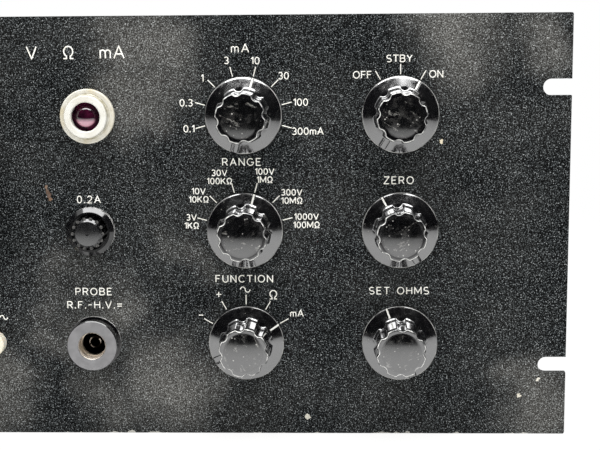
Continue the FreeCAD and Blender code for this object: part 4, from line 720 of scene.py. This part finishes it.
def knob_columns(skirt):
    """The directions of a knob's columns of points: even angles, and straight lines beside the two grooves.

    Each is its kind, its offset from the pointer's line or from the line opposite, and its angle.
    """
    beside_groove = (1.3, 0.95, 0.87, 0.44)
    beside_trough = (2.6, 2.3, 2.16, 2.08, 1.7, 1.2, 0.6)
    count, step = 108, 1.5

    def mirrored(offsets):
        """Offsets in metres on both sides of a line, and nought on it."""
        return [y * mm for y in (*(-y for y in offsets), 0.0, *reversed(offsets))]

    def even(first):
        """Columns at even angles from a first one in degrees."""
        return [("plain", 0.0, math.radians(first + step * n)) for n in range(count)]

    pointer = [("pointer", y, math.asin(y / skirt)) for y in mirrored(beside_groove)]
    trough = [("trough", -y, math.pi + math.asin(y / skirt)) for y in mirrored(beside_trough)]
    return pointer + even(6.5) + trough + even(193.0)


def column_angle(kind, offset, angle, radius, least):
    """The angle of a column at a radius. The columns beside a groove keep their distance from its line."""
    radius = max(radius, least)
    if kind == "pointer":
        return math.asin(offset / radius)
    if kind == "trough":
        return math.pi - math.asin(offset / radius)
    return angle


def fluted(radius, angle):
    """The cap's outline: a circle with scooped flutes half way between the lobes, softly joined."""
    flutes, depth, scoop, soften = 8, 1.35 * mm, 3.0 * mm, 0.25 * mm
    step = 2 * math.pi / flutes
    from_flute = angle % step - step / 2
    far = radius - depth + scoop
    inside = scoop ** 2 - (far * math.sin(from_flute)) ** 2
    if inside <= 0:
        return radius
    wall = far * math.cos(from_flute) - math.sqrt(inside)
    return -soften * math.log(math.exp(-radius / soften) + math.exp(-wall / soften))


def knob_mesh(sizes):
    """One moulded knob, with its pointer along X and its axis along Z, hollow behind."""
    skirt, base, top, face = sizes.skirt_radius, sizes.base_radius, sizes.top_radius, sizes.face_radius
    low = sizes.gap
    rim = low + rim_height
    shoulder = rim + skirt_rise
    slope = skirt_rise / (skirt - base)
    lean = math.atan(slope)
    edge = sizes.height - dome_rise
    # The cap rises out of the skirt in a fillet, and its top edge is rounded over the width of a bevel
    fillet, bevel = 2.4 * mm, 0.8 * mm
    foot = fillet * (1 - math.sin(lean))
    meet = shoulder + fillet * math.tan((math.pi / 2 - lean) / 2)
    # The hollow behind clears the nut on the panel: its roof's height, and its wall's radius and lower edge
    hollow, hollow_wall, wall_foot, middle = 4.9 * mm, 8.7 * mm, 4.45 * mm, 3.05 * mm

    def drop(kind, offset):
        """How far a groove lies below the skirt at a column."""
        offset = abs(offset)
        if kind == "pointer" and offset < groove_half:
            return groove_depth / math.cos(lean)
        if kind == "trough" and offset < trough_half:
            return (math.sqrt(trough_radius ** 2 - offset ** 2) - trough_axis) / math.cos(lean)
        return 0.0

    # Each ring is its kind, its radius or how far it is set in, and its height
    rings = [("plain", middle, hollow), ("plain", hollow_wall, hollow), ("plain", hollow_wall, wall_foot),
             ("plain", skirt - 1.6 * mm, low), ("plain", skirt - 0.35 * mm, low),
             ("plain", skirt, low + 0.3 * mm), ("skirt", skirt, rim - 0.3 * mm),
             ("skirt", skirt - 0.09 * mm, rim - 0.08 * mm), ("skirt", skirt - 0.35 * mm, rim + 0.13 * mm)]
    outer, inner = skirt - 0.8 * mm, base + foot + 0.15 * mm
    for n in range(9):
        radius = outer + (inner - outer) * n / 8
        rings.append(("skirt", radius, shoulder - (radius - base) * slope))
    for n in range(7):
        steep = lean + (math.pi / 2 - lean) * n / 6
        rings.append(("fillet", fillet * (1 - math.sin(steep)), meet - fillet * math.cos(steep)))
    for n in range(1, 7):
        rings.append(("cap", 0.0, shoulder + bevel + (edge - 2 * bevel - shoulder) * n / 6))
    for inset, below in ((0.04, 0.66), (0.16, 0.36), (0.36, 0.14), (0.6, 0.03), (0.8, 0.0)):
        rings.append(("cap", inset * mm, edge - below * mm))
    rings += [("ring", 0.5, edge), ("ring", 1.0, edge)]
    for n in range(9):
        radius = face * (1 - n / 9)
        rings.append(("plain", radius, sizes.height - dome_rise * (radius / face) ** 2))

    columns = knob_columns(skirt)
    points = []
    for sort, radius, height in rings:
        for kind, offset, angle in columns:
            reach = base + radius if sort == "fillet" else base if sort in ("cap", "ring") else radius
            turn = column_angle(kind, offset, angle, reach, 0.98 * base)
            level = height
            if sort == "skirt":
                grooved = shoulder - (radius - base) * slope - drop(kind, offset)
                level = max(min(height, grooved), low + 0.05 * mm)
            elif sort != "plain":
                share = min(1.0, max(0.0, (height - shoulder) / (edge - shoulder)))
                outline = fluted(base + (top - base) * share, turn)
                reach = outline - radius
                if sort == "fillet":
                    reach = outline + radius
                    level += (base - outline) * slope * radius / foot
                elif sort == "ring":
                    start = outline - bevel
                    reach = start + (face + 0.3 * mm - start) * radius
            points.append((reach * math.cos(turn), reach * math.sin(turn), level))
    across = len(columns)
    faces = []
    for ring in range(len(rings) - 1):
        for n in range(across):
            here, there = ring * across + n, ring * across + (n + 1) % across
            faces.append((here, there, there + across, here + across))
    points += [(0, 0, hollow), (0, 0, sizes.height)]
    last = (len(rings) - 1) * across
    for n in range(across):
        after = (n + 1) % across
        faces.append((len(points) - 2, after, n))
        faces.append((len(points) - 1, last + n, last + after))
    data = bpy.data.meshes.new("skirted_knob")
    data.from_pydata(points, [], faces)
    data.validate()
    return data


def screw_hole(data):
    """Drills the set screw's hole into the cap, opposite the pointer."""
    radius, depth, middle, height = 2.05 * mm, 7 * mm, 12.3 * mm, 10.5 * mm
    drill = bmesh.new()
    bmesh.ops.create_cone(drill, cap_ends=True, segments=32, radius1=radius, radius2=radius, depth=depth)
    bmesh.ops.rotate(drill, verts=drill.verts, matrix=Matrix.Rotation(math.radians(90), 3, "Y"))
    bmesh.ops.translate(drill, verts=drill.verts, vec=(-middle, 0, height))
    bit = bpy.data.meshes.new("drill")
    drill.to_mesh(bit)
    drill.free()
    tool = bpy.data.objects.new("drill", bit)
    undrilled = bpy.data.objects.new("undrilled", data)
    for thing in (tool, undrilled):
        bpy.context.scene.collection.objects.link(thing)
    hole = undrilled.modifiers.new("hole", "BOOLEAN")
    hole.object = tool
    hole.operation = "DIFFERENCE"
    hole.solver = "EXACT"
    bpy.context.view_layer.update()
    drilled = bpy.data.meshes.new_from_object(undrilled.evaluated_get(bpy.context.evaluated_depsgraph_get()))
    for thing in (tool, undrilled):
        bpy.data.objects.remove(thing)
    drilled.shade_smooth()
    drilled.set_sharp_from_angle(angle=crease)
    return drilled


def rub_edges(data, sizes, materials):
    """Gives a knob its bakelite, the worn finishes with painted highlights along its two edges, and the
    thumbed one on its face.
    """
    lay(data, materials)
    top = sizes.height - dome_rise
    edge_foot, edge_top, face_level = top - 0.3 * mm, top - 0.05 * mm, top - 0.005 * mm
    rim, rim_half, rim_reach = sizes.gap + rim_height, 0.22 * mm, sizes.skirt_radius - 0.4 * mm
    for face in data.polygons:
        reach = math.hypot(face.center.x, face.center.y)
        cap_edge = edge_foot < face.center.z < edge_top
        skirt_rim = abs(face.center.z - rim) < rim_half and reach > rim_reach
        on_face = face.center.z > face_level and reach < sizes.face_radius
        face.material_index = 1 if cap_edge else 2 if skirt_rim else 3 if on_face else 0


def pointer_mesh(sizes):
    """The white filling of a pointer's groove, a slightly crowned bar along the skirt."""
    slope = skirt_rise / (sizes.skirt_radius - sizes.base_radius)
    top = sizes.gap + rim_height + skirt_rise - filling_depth
    first, last = sizes.base_radius + 1.5 * mm, sizes.skirt_radius - 0.1 * mm
    half, sunk, crown = sizes.line_width / 2, 0.1 * mm, 0.14 * mm
    section = [(-half, -sunk), (-half, 0.0), (-0.8 * half, 0.1 * mm), (0.0, crown), (0.8 * half, 0.1 * mm),
               (half, 0.0), (half, -sunk)]
    points = []
    stations = 8
    for n in range(stations):
        radius = first + (last - first) * n / (stations - 1)
        height = top - (radius - sizes.base_radius) * slope
        points += [(radius, y, height + z) for y, z in section]
    wide = len(section)
    faces = [tuple(range(wide)), tuple(reversed(range(len(points) - wide, len(points))))]
    for n in range(stations - 1):
        for k in range(wide):
            here, after = n * wide + k, n * wide + (k + 1) % wide
            faces.append((here, here + wide, after + wide, after))
    data = bpy.data.meshes.new("pointer_line")
    data.from_pydata(points, [], faces)
    data.shade_smooth()
    data.set_sharp_from_angle(angle=crease)
    return data


class VOLTMETER_OT_knobs(bpy.types.Operator):
    """Adds the six moulded knobs and the white lines in their pointer grooves"""

    bl_idname = "voltmeter.knobs"
    bl_label = "Knobs"

    def execute(self, context):
        sizes = context.scene.voltmeter_knobs
        bakelite = polished_bakelite("polished_black_knob_bakelite", 2.5, 1.8)
        paint = plain("engraving_white_enamel")
        knob = screw_hole(knob_mesh(sizes))
        # The knobs' worn edges and rims carry painted highlights
        wear_and_glint = [plain("bakelite_edge_wear_and_painted_glint"), plain("bakelite_rim_wear_and_painted_glint")]
        rub_edges(knob, sizes, [bakelite, *wear_and_glint, thumbed_bakelite()])
        line = pointer_mesh(sizes)
        for name, (angle, _) in control_marks.items():
            body = f"{name}_control"
            place = on_panel(turning_points[body], angle)
            made = piece(f"{name}_moulded_knob", knob, bakelite, body, place)
            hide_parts(f"{name}_knob")
            piece(f"{name}_pointer_line", line, paint, body, place)
        return {"FINISHED"}


# Panel lettering


# The space between letters, as a share of their height, in figures, words and the dial's scales
figure_gap, word_gap, scale_gap = 0.3, 0.42, 0.22


def marks_round(centre, marks, sizes):
    """The strokes of the marks and figures round one knob."""
    strokes = []
    line_step = 1.45
    for angle, text, across, up in marks:
        turn = math.radians(angle)
        ends = [(centre.x + r * math.cos(turn), centre.z + r * math.sin(turn))
                for r in (sizes.tick_start, sizes.tick_end)]
        strokes.append(ends)
        lines = text.split("/")
        height = sizes.small_figure if len(lines) > 1 else sizes.symbol if text in "-+~Ω" else sizes.figure
        for n, line in enumerate(lines):
            level = centre.z + up * mm + ((len(lines) - 1) / 2 - n) * line_step * height
            strokes += word_strokes(line, height, centre.x + across * mm, level, figure_gap)
    return strokes


class VOLTMETER_OT_lettering(bpy.types.Operator):
    """Adds the engraved marks, figures and words on the panel"""

    bl_idname = "voltmeter.lettering"
    bl_label = "Lettering"

    def execute(self, context):
        sizes = context.scene.voltmeter_lettering
        paint = plain("engraving_white_enamel")
        for name, (_, marks) in control_marks.items():
            if marks:
                strokes = marks_round(turning_points[f"{name}_control"], marks, sizes)
                stroke_piece(f"{name}_marks", strokes, sizes.stroke, panel_front, paint)
        title_place, unit_place = (-13.6 * mm, 203 * mm), (71.5 * mm, 204.6 * mm)
        title = word_strokes("V   Ω   mA", sizes.title, *title_place, figure_gap)
        stroke_piece("panel_title", title, sizes.title_stroke, panel_front, paint)
        # Each word, and its middle across and up the panel in millimetres
        words = [("RANGE", 71.5, 146.0), ("FUNCTION", 72.0, 84.2), ("ZERO", 153.0, 136.1),
                 ("SET OHMS", 153.4, 77.7), ("0.2A", -9.0, 126.6), ("PROBE", -8.0, 77.4),
                 ("R.F.-H.V.=", -7.6, 70.2), ("V~", -58.8, 63.4), ("Ω", -104.0, 63.4), ("mA", -146.0, 63.4),
                 ("-", -188.0, 63.4)]
        strokes = word_strokes("mA", sizes.unit, *unit_place, word_gap)
        for text, x, z in words:
            strokes += word_strokes(text, sizes.word, x * mm, z * mm, word_gap)
        stroke_piece("panel_words", strokes, sizes.stroke, panel_front, paint)
        return {"FINISHED"}


# Meter


# The angles in degrees between which the needle and the scales run
scale_span = (135, 45)


def scale_turn(share):
    """The angle in radians of a share of the scales' span."""
    return math.radians(scale_span[0] + (scale_span[1] - scale_span[0]) * share)


def on_dial(pivot, radius, turn):
    """A point on the dial, in X and Z."""
    return pivot.x + radius * math.cos(turn), pivot.z + radius * math.sin(turn)


def scale_arc(pivot, radius):
    """An arc of a dial scale, as points in X and Z."""
    return bow(pivot.x, pivot.z, radius, radius, *scale_span)


def scale_figure(pivot, radius, turn, text, height):
    """The strokes of a scale's figure, which stands upright to the scale."""
    return word_strokes(text, height, *on_dial(pivot, radius, turn), scale_gap, turn - math.pi / 2)


def scale_strokes(pivot, radius, lengths, divisions, figures, height, outward):
    """An even scale's arc, its long and short marks and its figures, outside (1) or inside (-1) the arc."""
    strokes = [scale_arc(pivot, radius)]
    for n in range(divisions + 1):
        end = radius + (lengths[0] if n % 5 == 0 else lengths[1]) * outward
        strokes.append([on_dial(pivot, r, scale_turn(n / divisions)) for r in (radius, end)])
    far = radius + (lengths[0] + 0.9 * height) * outward
    for n, figure in enumerate(figures):
        strokes += scale_figure(pivot, far, scale_turn(n / (len(figures) - 1)), str(figure), height)
    return strokes


class VOLTMETER_OT_meter(bpy.types.Operator):
    """Finishes the meter and prints its scales"""

    bl_idname = "voltmeter.meter"
    bl_label = "Meter"

    def execute(self, context):
        finish_nodes(polished_bakelite("meter_bakelite", 2.1, 1.8), "meter_cover", "meter_zero_screw")
        finish_nodes(plain("moulded_brown_phenolic"), "meter_can")
        finish_nodes(plain("clear_drawn_glass"), "meter_glass")
        finish_nodes(plain("matt_dial_enamel"), "meter_dial")
        finish_nodes(plain("painted_cast_magnet"), "meter_magnet")
        finish_nodes(plain("worn_nickelled_brass"), "meter_bridges")
        finish_nodes(plain("needle_black_lacquer"), "meter_needle")
        pivot = turning_points["needle"]
        level, black_line, red_line = dial_front - 0.02 * mm, 0.3 * mm, 0.28 * mm
        black = scale_strokes(pivot, radius=55 * mm, lengths=(2.6 * mm, 1.6 * mm), divisions=50,
                              figures=range(0, 11, 2), height=2.9 * mm, outward=1)
        black += scale_strokes(pivot, radius=53.6 * mm, lengths=(2.4 * mm, 1.5 * mm), divisions=30,
                               figures=range(0, 31, 5), height=2.3 * mm, outward=-1)
        unit_height, unit_level = 3.4 * mm, pivot.z + 33 * mm
        for unit, across in (("V", -5 * mm), ("mA", 5 * mm)):
            black += word_strokes(unit, unit_height, pivot.x + across, unit_level, figure_gap)
        stroke_piece("black_scales", black, black_line, level, plain("black_dial_ink"))
        # The ohm scale is uneven, with 10 at its middle: its marks crowd together at the right
        arc, tick, figures, centre_value = 65.5 * mm, 67.7 * mm, 69.4 * mm, 10
        figure_height, ohm_height = 2.0 * mm, 2.6 * mm
        red = [scale_arc(pivot, arc)]
        for value, figure in ((0, ""), (1, "1"), (2, "2"), (3, ""), (5, "5"), (8, ""), (10, "10"), (20, ""),
                              (40, "40"), (80, ""), (1e9, "")):
            turn = scale_turn(value / (value + centre_value))
            red.append([on_dial(pivot, r, turn) for r in (arc, tick)])
            red += scale_figure(pivot, figures, turn, figure, figure_height)
        red += word_strokes("Ω", ohm_height, pivot.x + 39 * mm, pivot.z + 53.5 * mm, figure_gap)
        stroke_piece("red_ohm_scale", red, red_line, level, plain("red_dial_ink"))
        return {"FINISHED"}


# Lamp, fuse, probe socket and jacks


class VOLTMETER_OT_fittings(bpy.types.Operator):
    """Finishes the pilot lamp, fuse holder, probe socket and jacks"""

    bl_idname = "voltmeter.fittings"
    bl_label = "Fittings"

    def execute(self, context):
        bakelite, wear_and_glint = polished_bakelite("fitting_bakelite", 1.55, 1.45), plain("bakelite_edge_wear_and_painted_glint")
        glass, steel, brass = (plain(name) for name in ("clear_drawn_glass", "bright_nickel_steel",
                                                        "worn_nickelled_brass"))
        low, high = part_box("pilot_bezel")
        pilot, raised_ring, jewel = (low + high) / 2, 11.5 * mm, 6.6 * mm
        finish_nodes(soiled_ivory(pilot, raised_ring), "pilot_bezel")
        finish_nodes(amethyst_glass(pilot, jewel), "pilot_jewel")
        finish_nodes(steel, "pilot_lamp_holder")
        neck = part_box("pilot_lamp")[0].y + 12 * mm
        finish_faces("pilot_lamp", lambda spot: 0 if spot.y < neck else 1, [glass, brass])
        # An edge's band of wear and painted highlight is this wide
        band = 0.15 * mm
        low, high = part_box("fuse_base")
        fuse, wall = (low + high) / 2, (high.x - low.x) / 2 - band
        finish_faces("fuse_base", lambda spot: 1 if axis_reach(spot, fuse) > wall else 0, [bakelite, wear_and_glint])
        low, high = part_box("fuse_cap")
        cap_face, rib_end, ribs = low.y + 0.72 * mm, low.y + 1.5 * mm, 7.55 * mm

        def cap_finish(spot):
            """Dulled on the cap's face, worn with painted glints on the ends of its ribs, and polished
            elsewhere.
            """
            if spot.y < cap_face:
                return 0
            return 1 if spot.y < rib_end and axis_reach(spot, fuse) > ribs else 2

        handled, rib_wear_and_glints = plain("handled_black_phenolic"), plain("bakelite_rib_wear_and_painted_glints")
        finish_faces("fuse_cap", cap_finish, [handled, rib_wear_and_glints, bakelite])
        long = 10 * mm
        finish_parts("fuse_cartridge", lambda low, high: 0 if high.y - low.y > long else 1, [glass, steel])
        low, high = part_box("probe_socket")
        probe, flange, bore = (low + high) / 2, (high.x - low.x) / 2 - band, 7.2 * mm
        face = low.y + 0.1 * mm
        silver = tarnished_silver(low.y)

        def socket_finish(spot):
            """Satin grey with a painted reflection on the front, worn with a painted highlight round the
            flange, silver with painted shade in the bore, and polished elsewhere.
            """
            reach = axis_reach(spot, probe)
            return 0 if spot.y < face else 2 if reach > flange else 3 if reach < bore else 1

        finish_faces("probe_socket", socket_finish, [plain("black_phenolic_painted_reflection"), bakelite, wear_and_glint, silver])
        finish_nodes(silver, "probe_contacts")
        finish_nodes(ivory_urea(), "input_jacks")
        finish_nodes(bakelite, "common_jack")
        finish_nodes(brass, "jack_tubes")
        return {"FINISHED"}


# Cabinet and insides


class VOLTMETER_OT_cabinet(bpy.types.Operator):
    """Finishes the panel, chassis, dust cover and their screws"""

    bl_idname = "voltmeter.cabinet"
    bl_label = "Cabinet"

    def execute(self, context):
        finish_nodes(black_wrinkle_enamel(), "front_panel")
        finish_nodes(plain("passivated_sheet_steel"), "left_cheek", "right_cheek", "chassis_deck")
        finish_nodes(plain("grey_stove_enamel"), "rear_plate", "dust_cover", "bottom_plate")
        finish_nodes(plain("bright_nickel_steel"), "chassis_screws", "panel_nuts", "cover_screws")
        finish_nodes(plain("bloomed_black_rubber"), "mains_grommet")
        return {"FINISHED"}


class VOLTMETER_OT_insides(bpy.types.Operator):
    """Finishes the switches, valves, transformer and other parts on the chassis"""

    bl_idname = "voltmeter.insides"
    bl_label = "Insides"

    def execute(self, context):
        steel, brass, aluminium = (plain(name) for name in ("bright_nickel_steel", "worn_nickelled_brass",
                                                            "drawn_aluminium"))
        paper, moulded = plain("brown_paper_phenolic"), plain("moulded_brown_phenolic")
        # A contact ring and a wafer are thinner than these, and a wafer is wider
        ring_limit, wafer_limit, wafer_width = 1 * mm, 3 * mm, 30 * mm

        def switch_finish(low, high):
            """Brass for a ring of contacts, brown for a wafer and steel for the rest."""
            thick, wide = high.y - low.y, high.x - low.x
            return 0 if thick < ring_limit else 1 if thick < wafer_limit and wide > wafer_width else 2

        for name in control_marks:
            finish_nodes(steel, f"{name}_shaft")
            if f"{name}_switch" in nodes:
                finish_parts(f"{name}_switch", switch_finish, [brass, paper, steel])
            else:
                finish_nodes(aluminium, f"{name}_potentiometer")
        finish_nodes(core_laminations(), "transformer_core")
        finish_nodes(varnished_wrap(), "transformer_coil")
        finish_nodes(steel, "transformer_feet")
        finish_nodes(moulded, "valve_sockets")
        finish_nodes(plain("clear_drawn_glass"), "valve_bulbs")
        finish_nodes(plain("carbonised_nickel"), "valve_electrodes")
        finish_nodes(paper, "resistor_board")
        finish_nodes(plain("dipped_brown_lacquer"), "resistors")
        low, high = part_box("filter_capacitor")
        base_share = 0.2
        ring = low.z + (high.z - low.z) * base_share
        finish_faces("filter_capacitor", lambda spot: 0 if spot.z > ring else 1, [aluminium, moulded])
        return {"FINISHED"}


# Studio


class VOLTMETER_OT_studio(bpy.types.Operator):
    """Adds the floor, lamps, sky and camera"""

    bl_idname = "voltmeter.studio"
    bl_label = "Studio"

    def execute(self, context):
        scene = context.scene
        studio = scene.voltmeter_studio
        scene.view_settings.view_transform = "Standard"
        self.floor(studio)
        self.card(studio)
        self.sky(scene, studio)
        # Each lamp's place, the point it is aimed at, its size and its power
        lamps = {"key_lamp": ((0.1, -0.46, 1.5), (0.1, 0.0, 0.1), (1.8, 0.9), studio.key_power),
                 "top_lamp": ((0.25, 0.35, 1.6), (0.1, 0.1, 0.0), (1.2, 0.9), studio.top_power)}
        for name, (place, aim, size, power) in lamps.items():
            lamp = bpy.data.lights.new(name, "AREA")
            lamp.shape = "RECTANGLE"
            lamp.size, lamp.size_y = size
            lamp.energy = power
            made = self.stand(name, lamp)
            made.location = place
            made.rotation_euler = (Vector(aim) - Vector(place)).to_track_quat("-Z", "Y").to_euler()
        camera = self.stand("camera", bpy.data.cameras.new("camera"))
        camera.location = studio.camera_place
        camera.rotation_euler = studio.camera_turn
        camera.data.lens = studio.lens
        camera.data.sensor_width = 36
        camera.data.clip_start = 0.01
        scene.camera = camera
        return {"FINISHED"}

    def stand(self, name, data):
        """Puts a thing of the studio in the scene."""
        made = bpy.data.objects.new(name, data)
        bpy.context.scene.collection.objects.link(made)
        return made

    def floor(self, studio):
        """The pale floor, which looks white in the picture, but for soft shadows."""
        half, below = 4.0, -0.1 * mm
        corners = [(-half, -half, below), (half, -half, below), (half, half, below), (-half, half, below)]
        data = bpy.data.meshes.new("floor")
        data.from_pydata(corners, [], [(0, 1, 2, 3)])
        floor = self.stand("floor", data)
        paper, tree, shader = blank("white_paper_floor")
        shader.inputs["Base Color"].default_value = (*studio.floor_colour, 1.0)
        shader.inputs["Roughness"].default_value = 0.9
        shader.inputs["Specular IOR Level"].default_value = 0.1
        place = add(tree, "TexCoord").outputs["Object"]
        # Reflections show the floor darkening towards the room in front
        darkest, white_from, dim = -0.62, -0.12, 0.3
        along = add(tree, "SeparateXYZ", {0: place}).outputs["Y"]
        fall = add(tree, "MapRange", {"Value": along, 1: darkest, 2: white_from, 3: dim, 4: 1.0})
        straight = add(tree, "LightPath").outputs["Is Camera Ray"]
        glow = add(tree, "Math", {0: straight, 1: fall.outputs[0]}, operation="MAXIMUM")
        white = add(tree, "Emission", {"Color": (1, 1, 1, 1), "Strength": glow.outputs[0]})
        # Far from the instrument, where no shadow falls, the floor is as white as the sky
        near, away, near_share = 0.3, 0.9, 0.86
        far = add(tree, "VectorMath", {0: place}, operation="LENGTH").outputs["Value"]
        share = add(tree, "MapRange", {"Value": far, 1: near, 2: away, 3: near_share, 4: 1.0})
        part = add(tree, "Math", {0: self.seen_rays(tree), 1: share.outputs[0]}, operation="MULTIPLY")
        mixed = add(tree, "MixShader", {0: part.outputs[0], 1: shader.outputs[0], 2: white.outputs[0]})
        tree.links.new(mixed.outputs[0], tree.nodes["Material Output"].inputs["Surface"])
        data.materials.append(paper)

    def card(self, studio):
        """A dark card by the camera, which only reflections see, as a dark room in front of the table."""
        # The card stands along this line on the floor, each point with the height of the card there
        line = [(-1.9, -0.35, 1.14), (-1.0, -0.64, 1.14), (0.02, -0.63, 1.14), (0.2, -0.625, 1.0),
                (0.5, -0.62, 1.0), (0.95, -0.3, 1.0), (1.05, 0.2, 1.0)]
        points = [(x, y, z) for x, y, top in line for z in (0.0, top)]
        faces = [(2 * n, 2 * n + 2, 2 * n + 3, 2 * n + 1) for n in range(len(line) - 1)]
        data = bpy.data.meshes.new("dark_card")
        data.from_pydata(points, [], faces)
        card = self.stand("dark_card", data)
        cloth, _, shader = blank("black_card")
        shader.inputs["Base Color"].default_value = (*studio.card_colour, 1.0)
        shader.inputs["Roughness"].default_value = 1.0
        shader.inputs["Specular IOR Level"].default_value = 0.0
        data.materials.append(cloth)
        card.visible_camera = False
        card.visible_diffuse = False
        card.visible_shadow = False
        card.visible_transmission = False

    def sky(self, scene, studio):
        """An even sky that is white where it is seen, and lights the instrument more gently."""
        world = bpy.data.worlds.new("white_sky")
        scene.world = world
        world.use_nodes = True
        tree = world.node_tree
        tree.nodes.clear()
        strength = add(tree, "MapRange", {"Value": self.seen_rays(tree), 3: studio.sky, 4: 1.0})
        light = add(tree, "Background", {"Color": (1, 1, 1, 1), "Strength": strength.outputs[0]})
        add(tree, "OutputWorld", {0: light.outputs[0]})

    def seen_rays(self, tree):
        """One for rays from the camera, or by way of a reflection or clear glass, and nought for the rest."""
        path = add(tree, "LightPath").outputs
        seen = path["Is Camera Ray"]
        for way in ("Is Glossy Ray", "Is Transmission Ray"):
            seen = add(tree, "Math", {0: seen, 1: path[way]}, operation="MAXIMUM").outputs[0]
        return seen


class VOLTMETER_PT_pieces(bpy.types.Panel):
    """Lists the voltmeter's pieces and settings"""

    bl_label = "Voltmeter"
    bl_idname = "VOLTMETER_PT_pieces"
    bl_space_type = "VIEW_3D"
    bl_region_type = "UI"
    bl_category = "Voltmeter"

    def draw(self, context):
        for operator in operators:
            self.layout.operator(operator.bl_idname)
        for settings in setting_groups:
            group = getattr(context.scene, settings)
            box = self.layout.box()
            for name in group.__annotations__:
                box.prop(group, name)


operators = (VOLTMETER_OT_cabinet, VOLTMETER_OT_meter, VOLTMETER_OT_fittings, VOLTMETER_OT_insides,
             VOLTMETER_OT_knobs, VOLTMETER_OT_lettering, VOLTMETER_OT_studio)
setting_groups = {"voltmeter_knobs": KnobSettings, "voltmeter_lettering": LetteringSettings,
                  "voltmeter_studio": StudioSettings}
classes = (*setting_groups.values(), *operators, VOLTMETER_PT_pieces)


def register():
    """Registers the classes and puts the settings on the scene."""
    for each in classes:
        bpy.utils.register_class(each)
    for name, group in setting_groups.items():
        setattr(bpy.types.Scene, name, bpy.props.PointerProperty(type=group))


def unregister():
    """Takes the settings and the classes away again."""
    for name in setting_groups:
        delattr(bpy.types.Scene, name)
    for each in reversed(classes):
        bpy.utils.unregister_class(each)


def main():
    """Dresses the part."""
    register()
    bpy.ops.voltmeter.cabinet()
    bpy.ops.voltmeter.meter()
    bpy.ops.voltmeter.fittings()
    bpy.ops.voltmeter.insides()
    bpy.ops.voltmeter.knobs()
    bpy.ops.voltmeter.lettering()
    bpy.ops.voltmeter.studio()


if __name__ == "__main__":
    main()
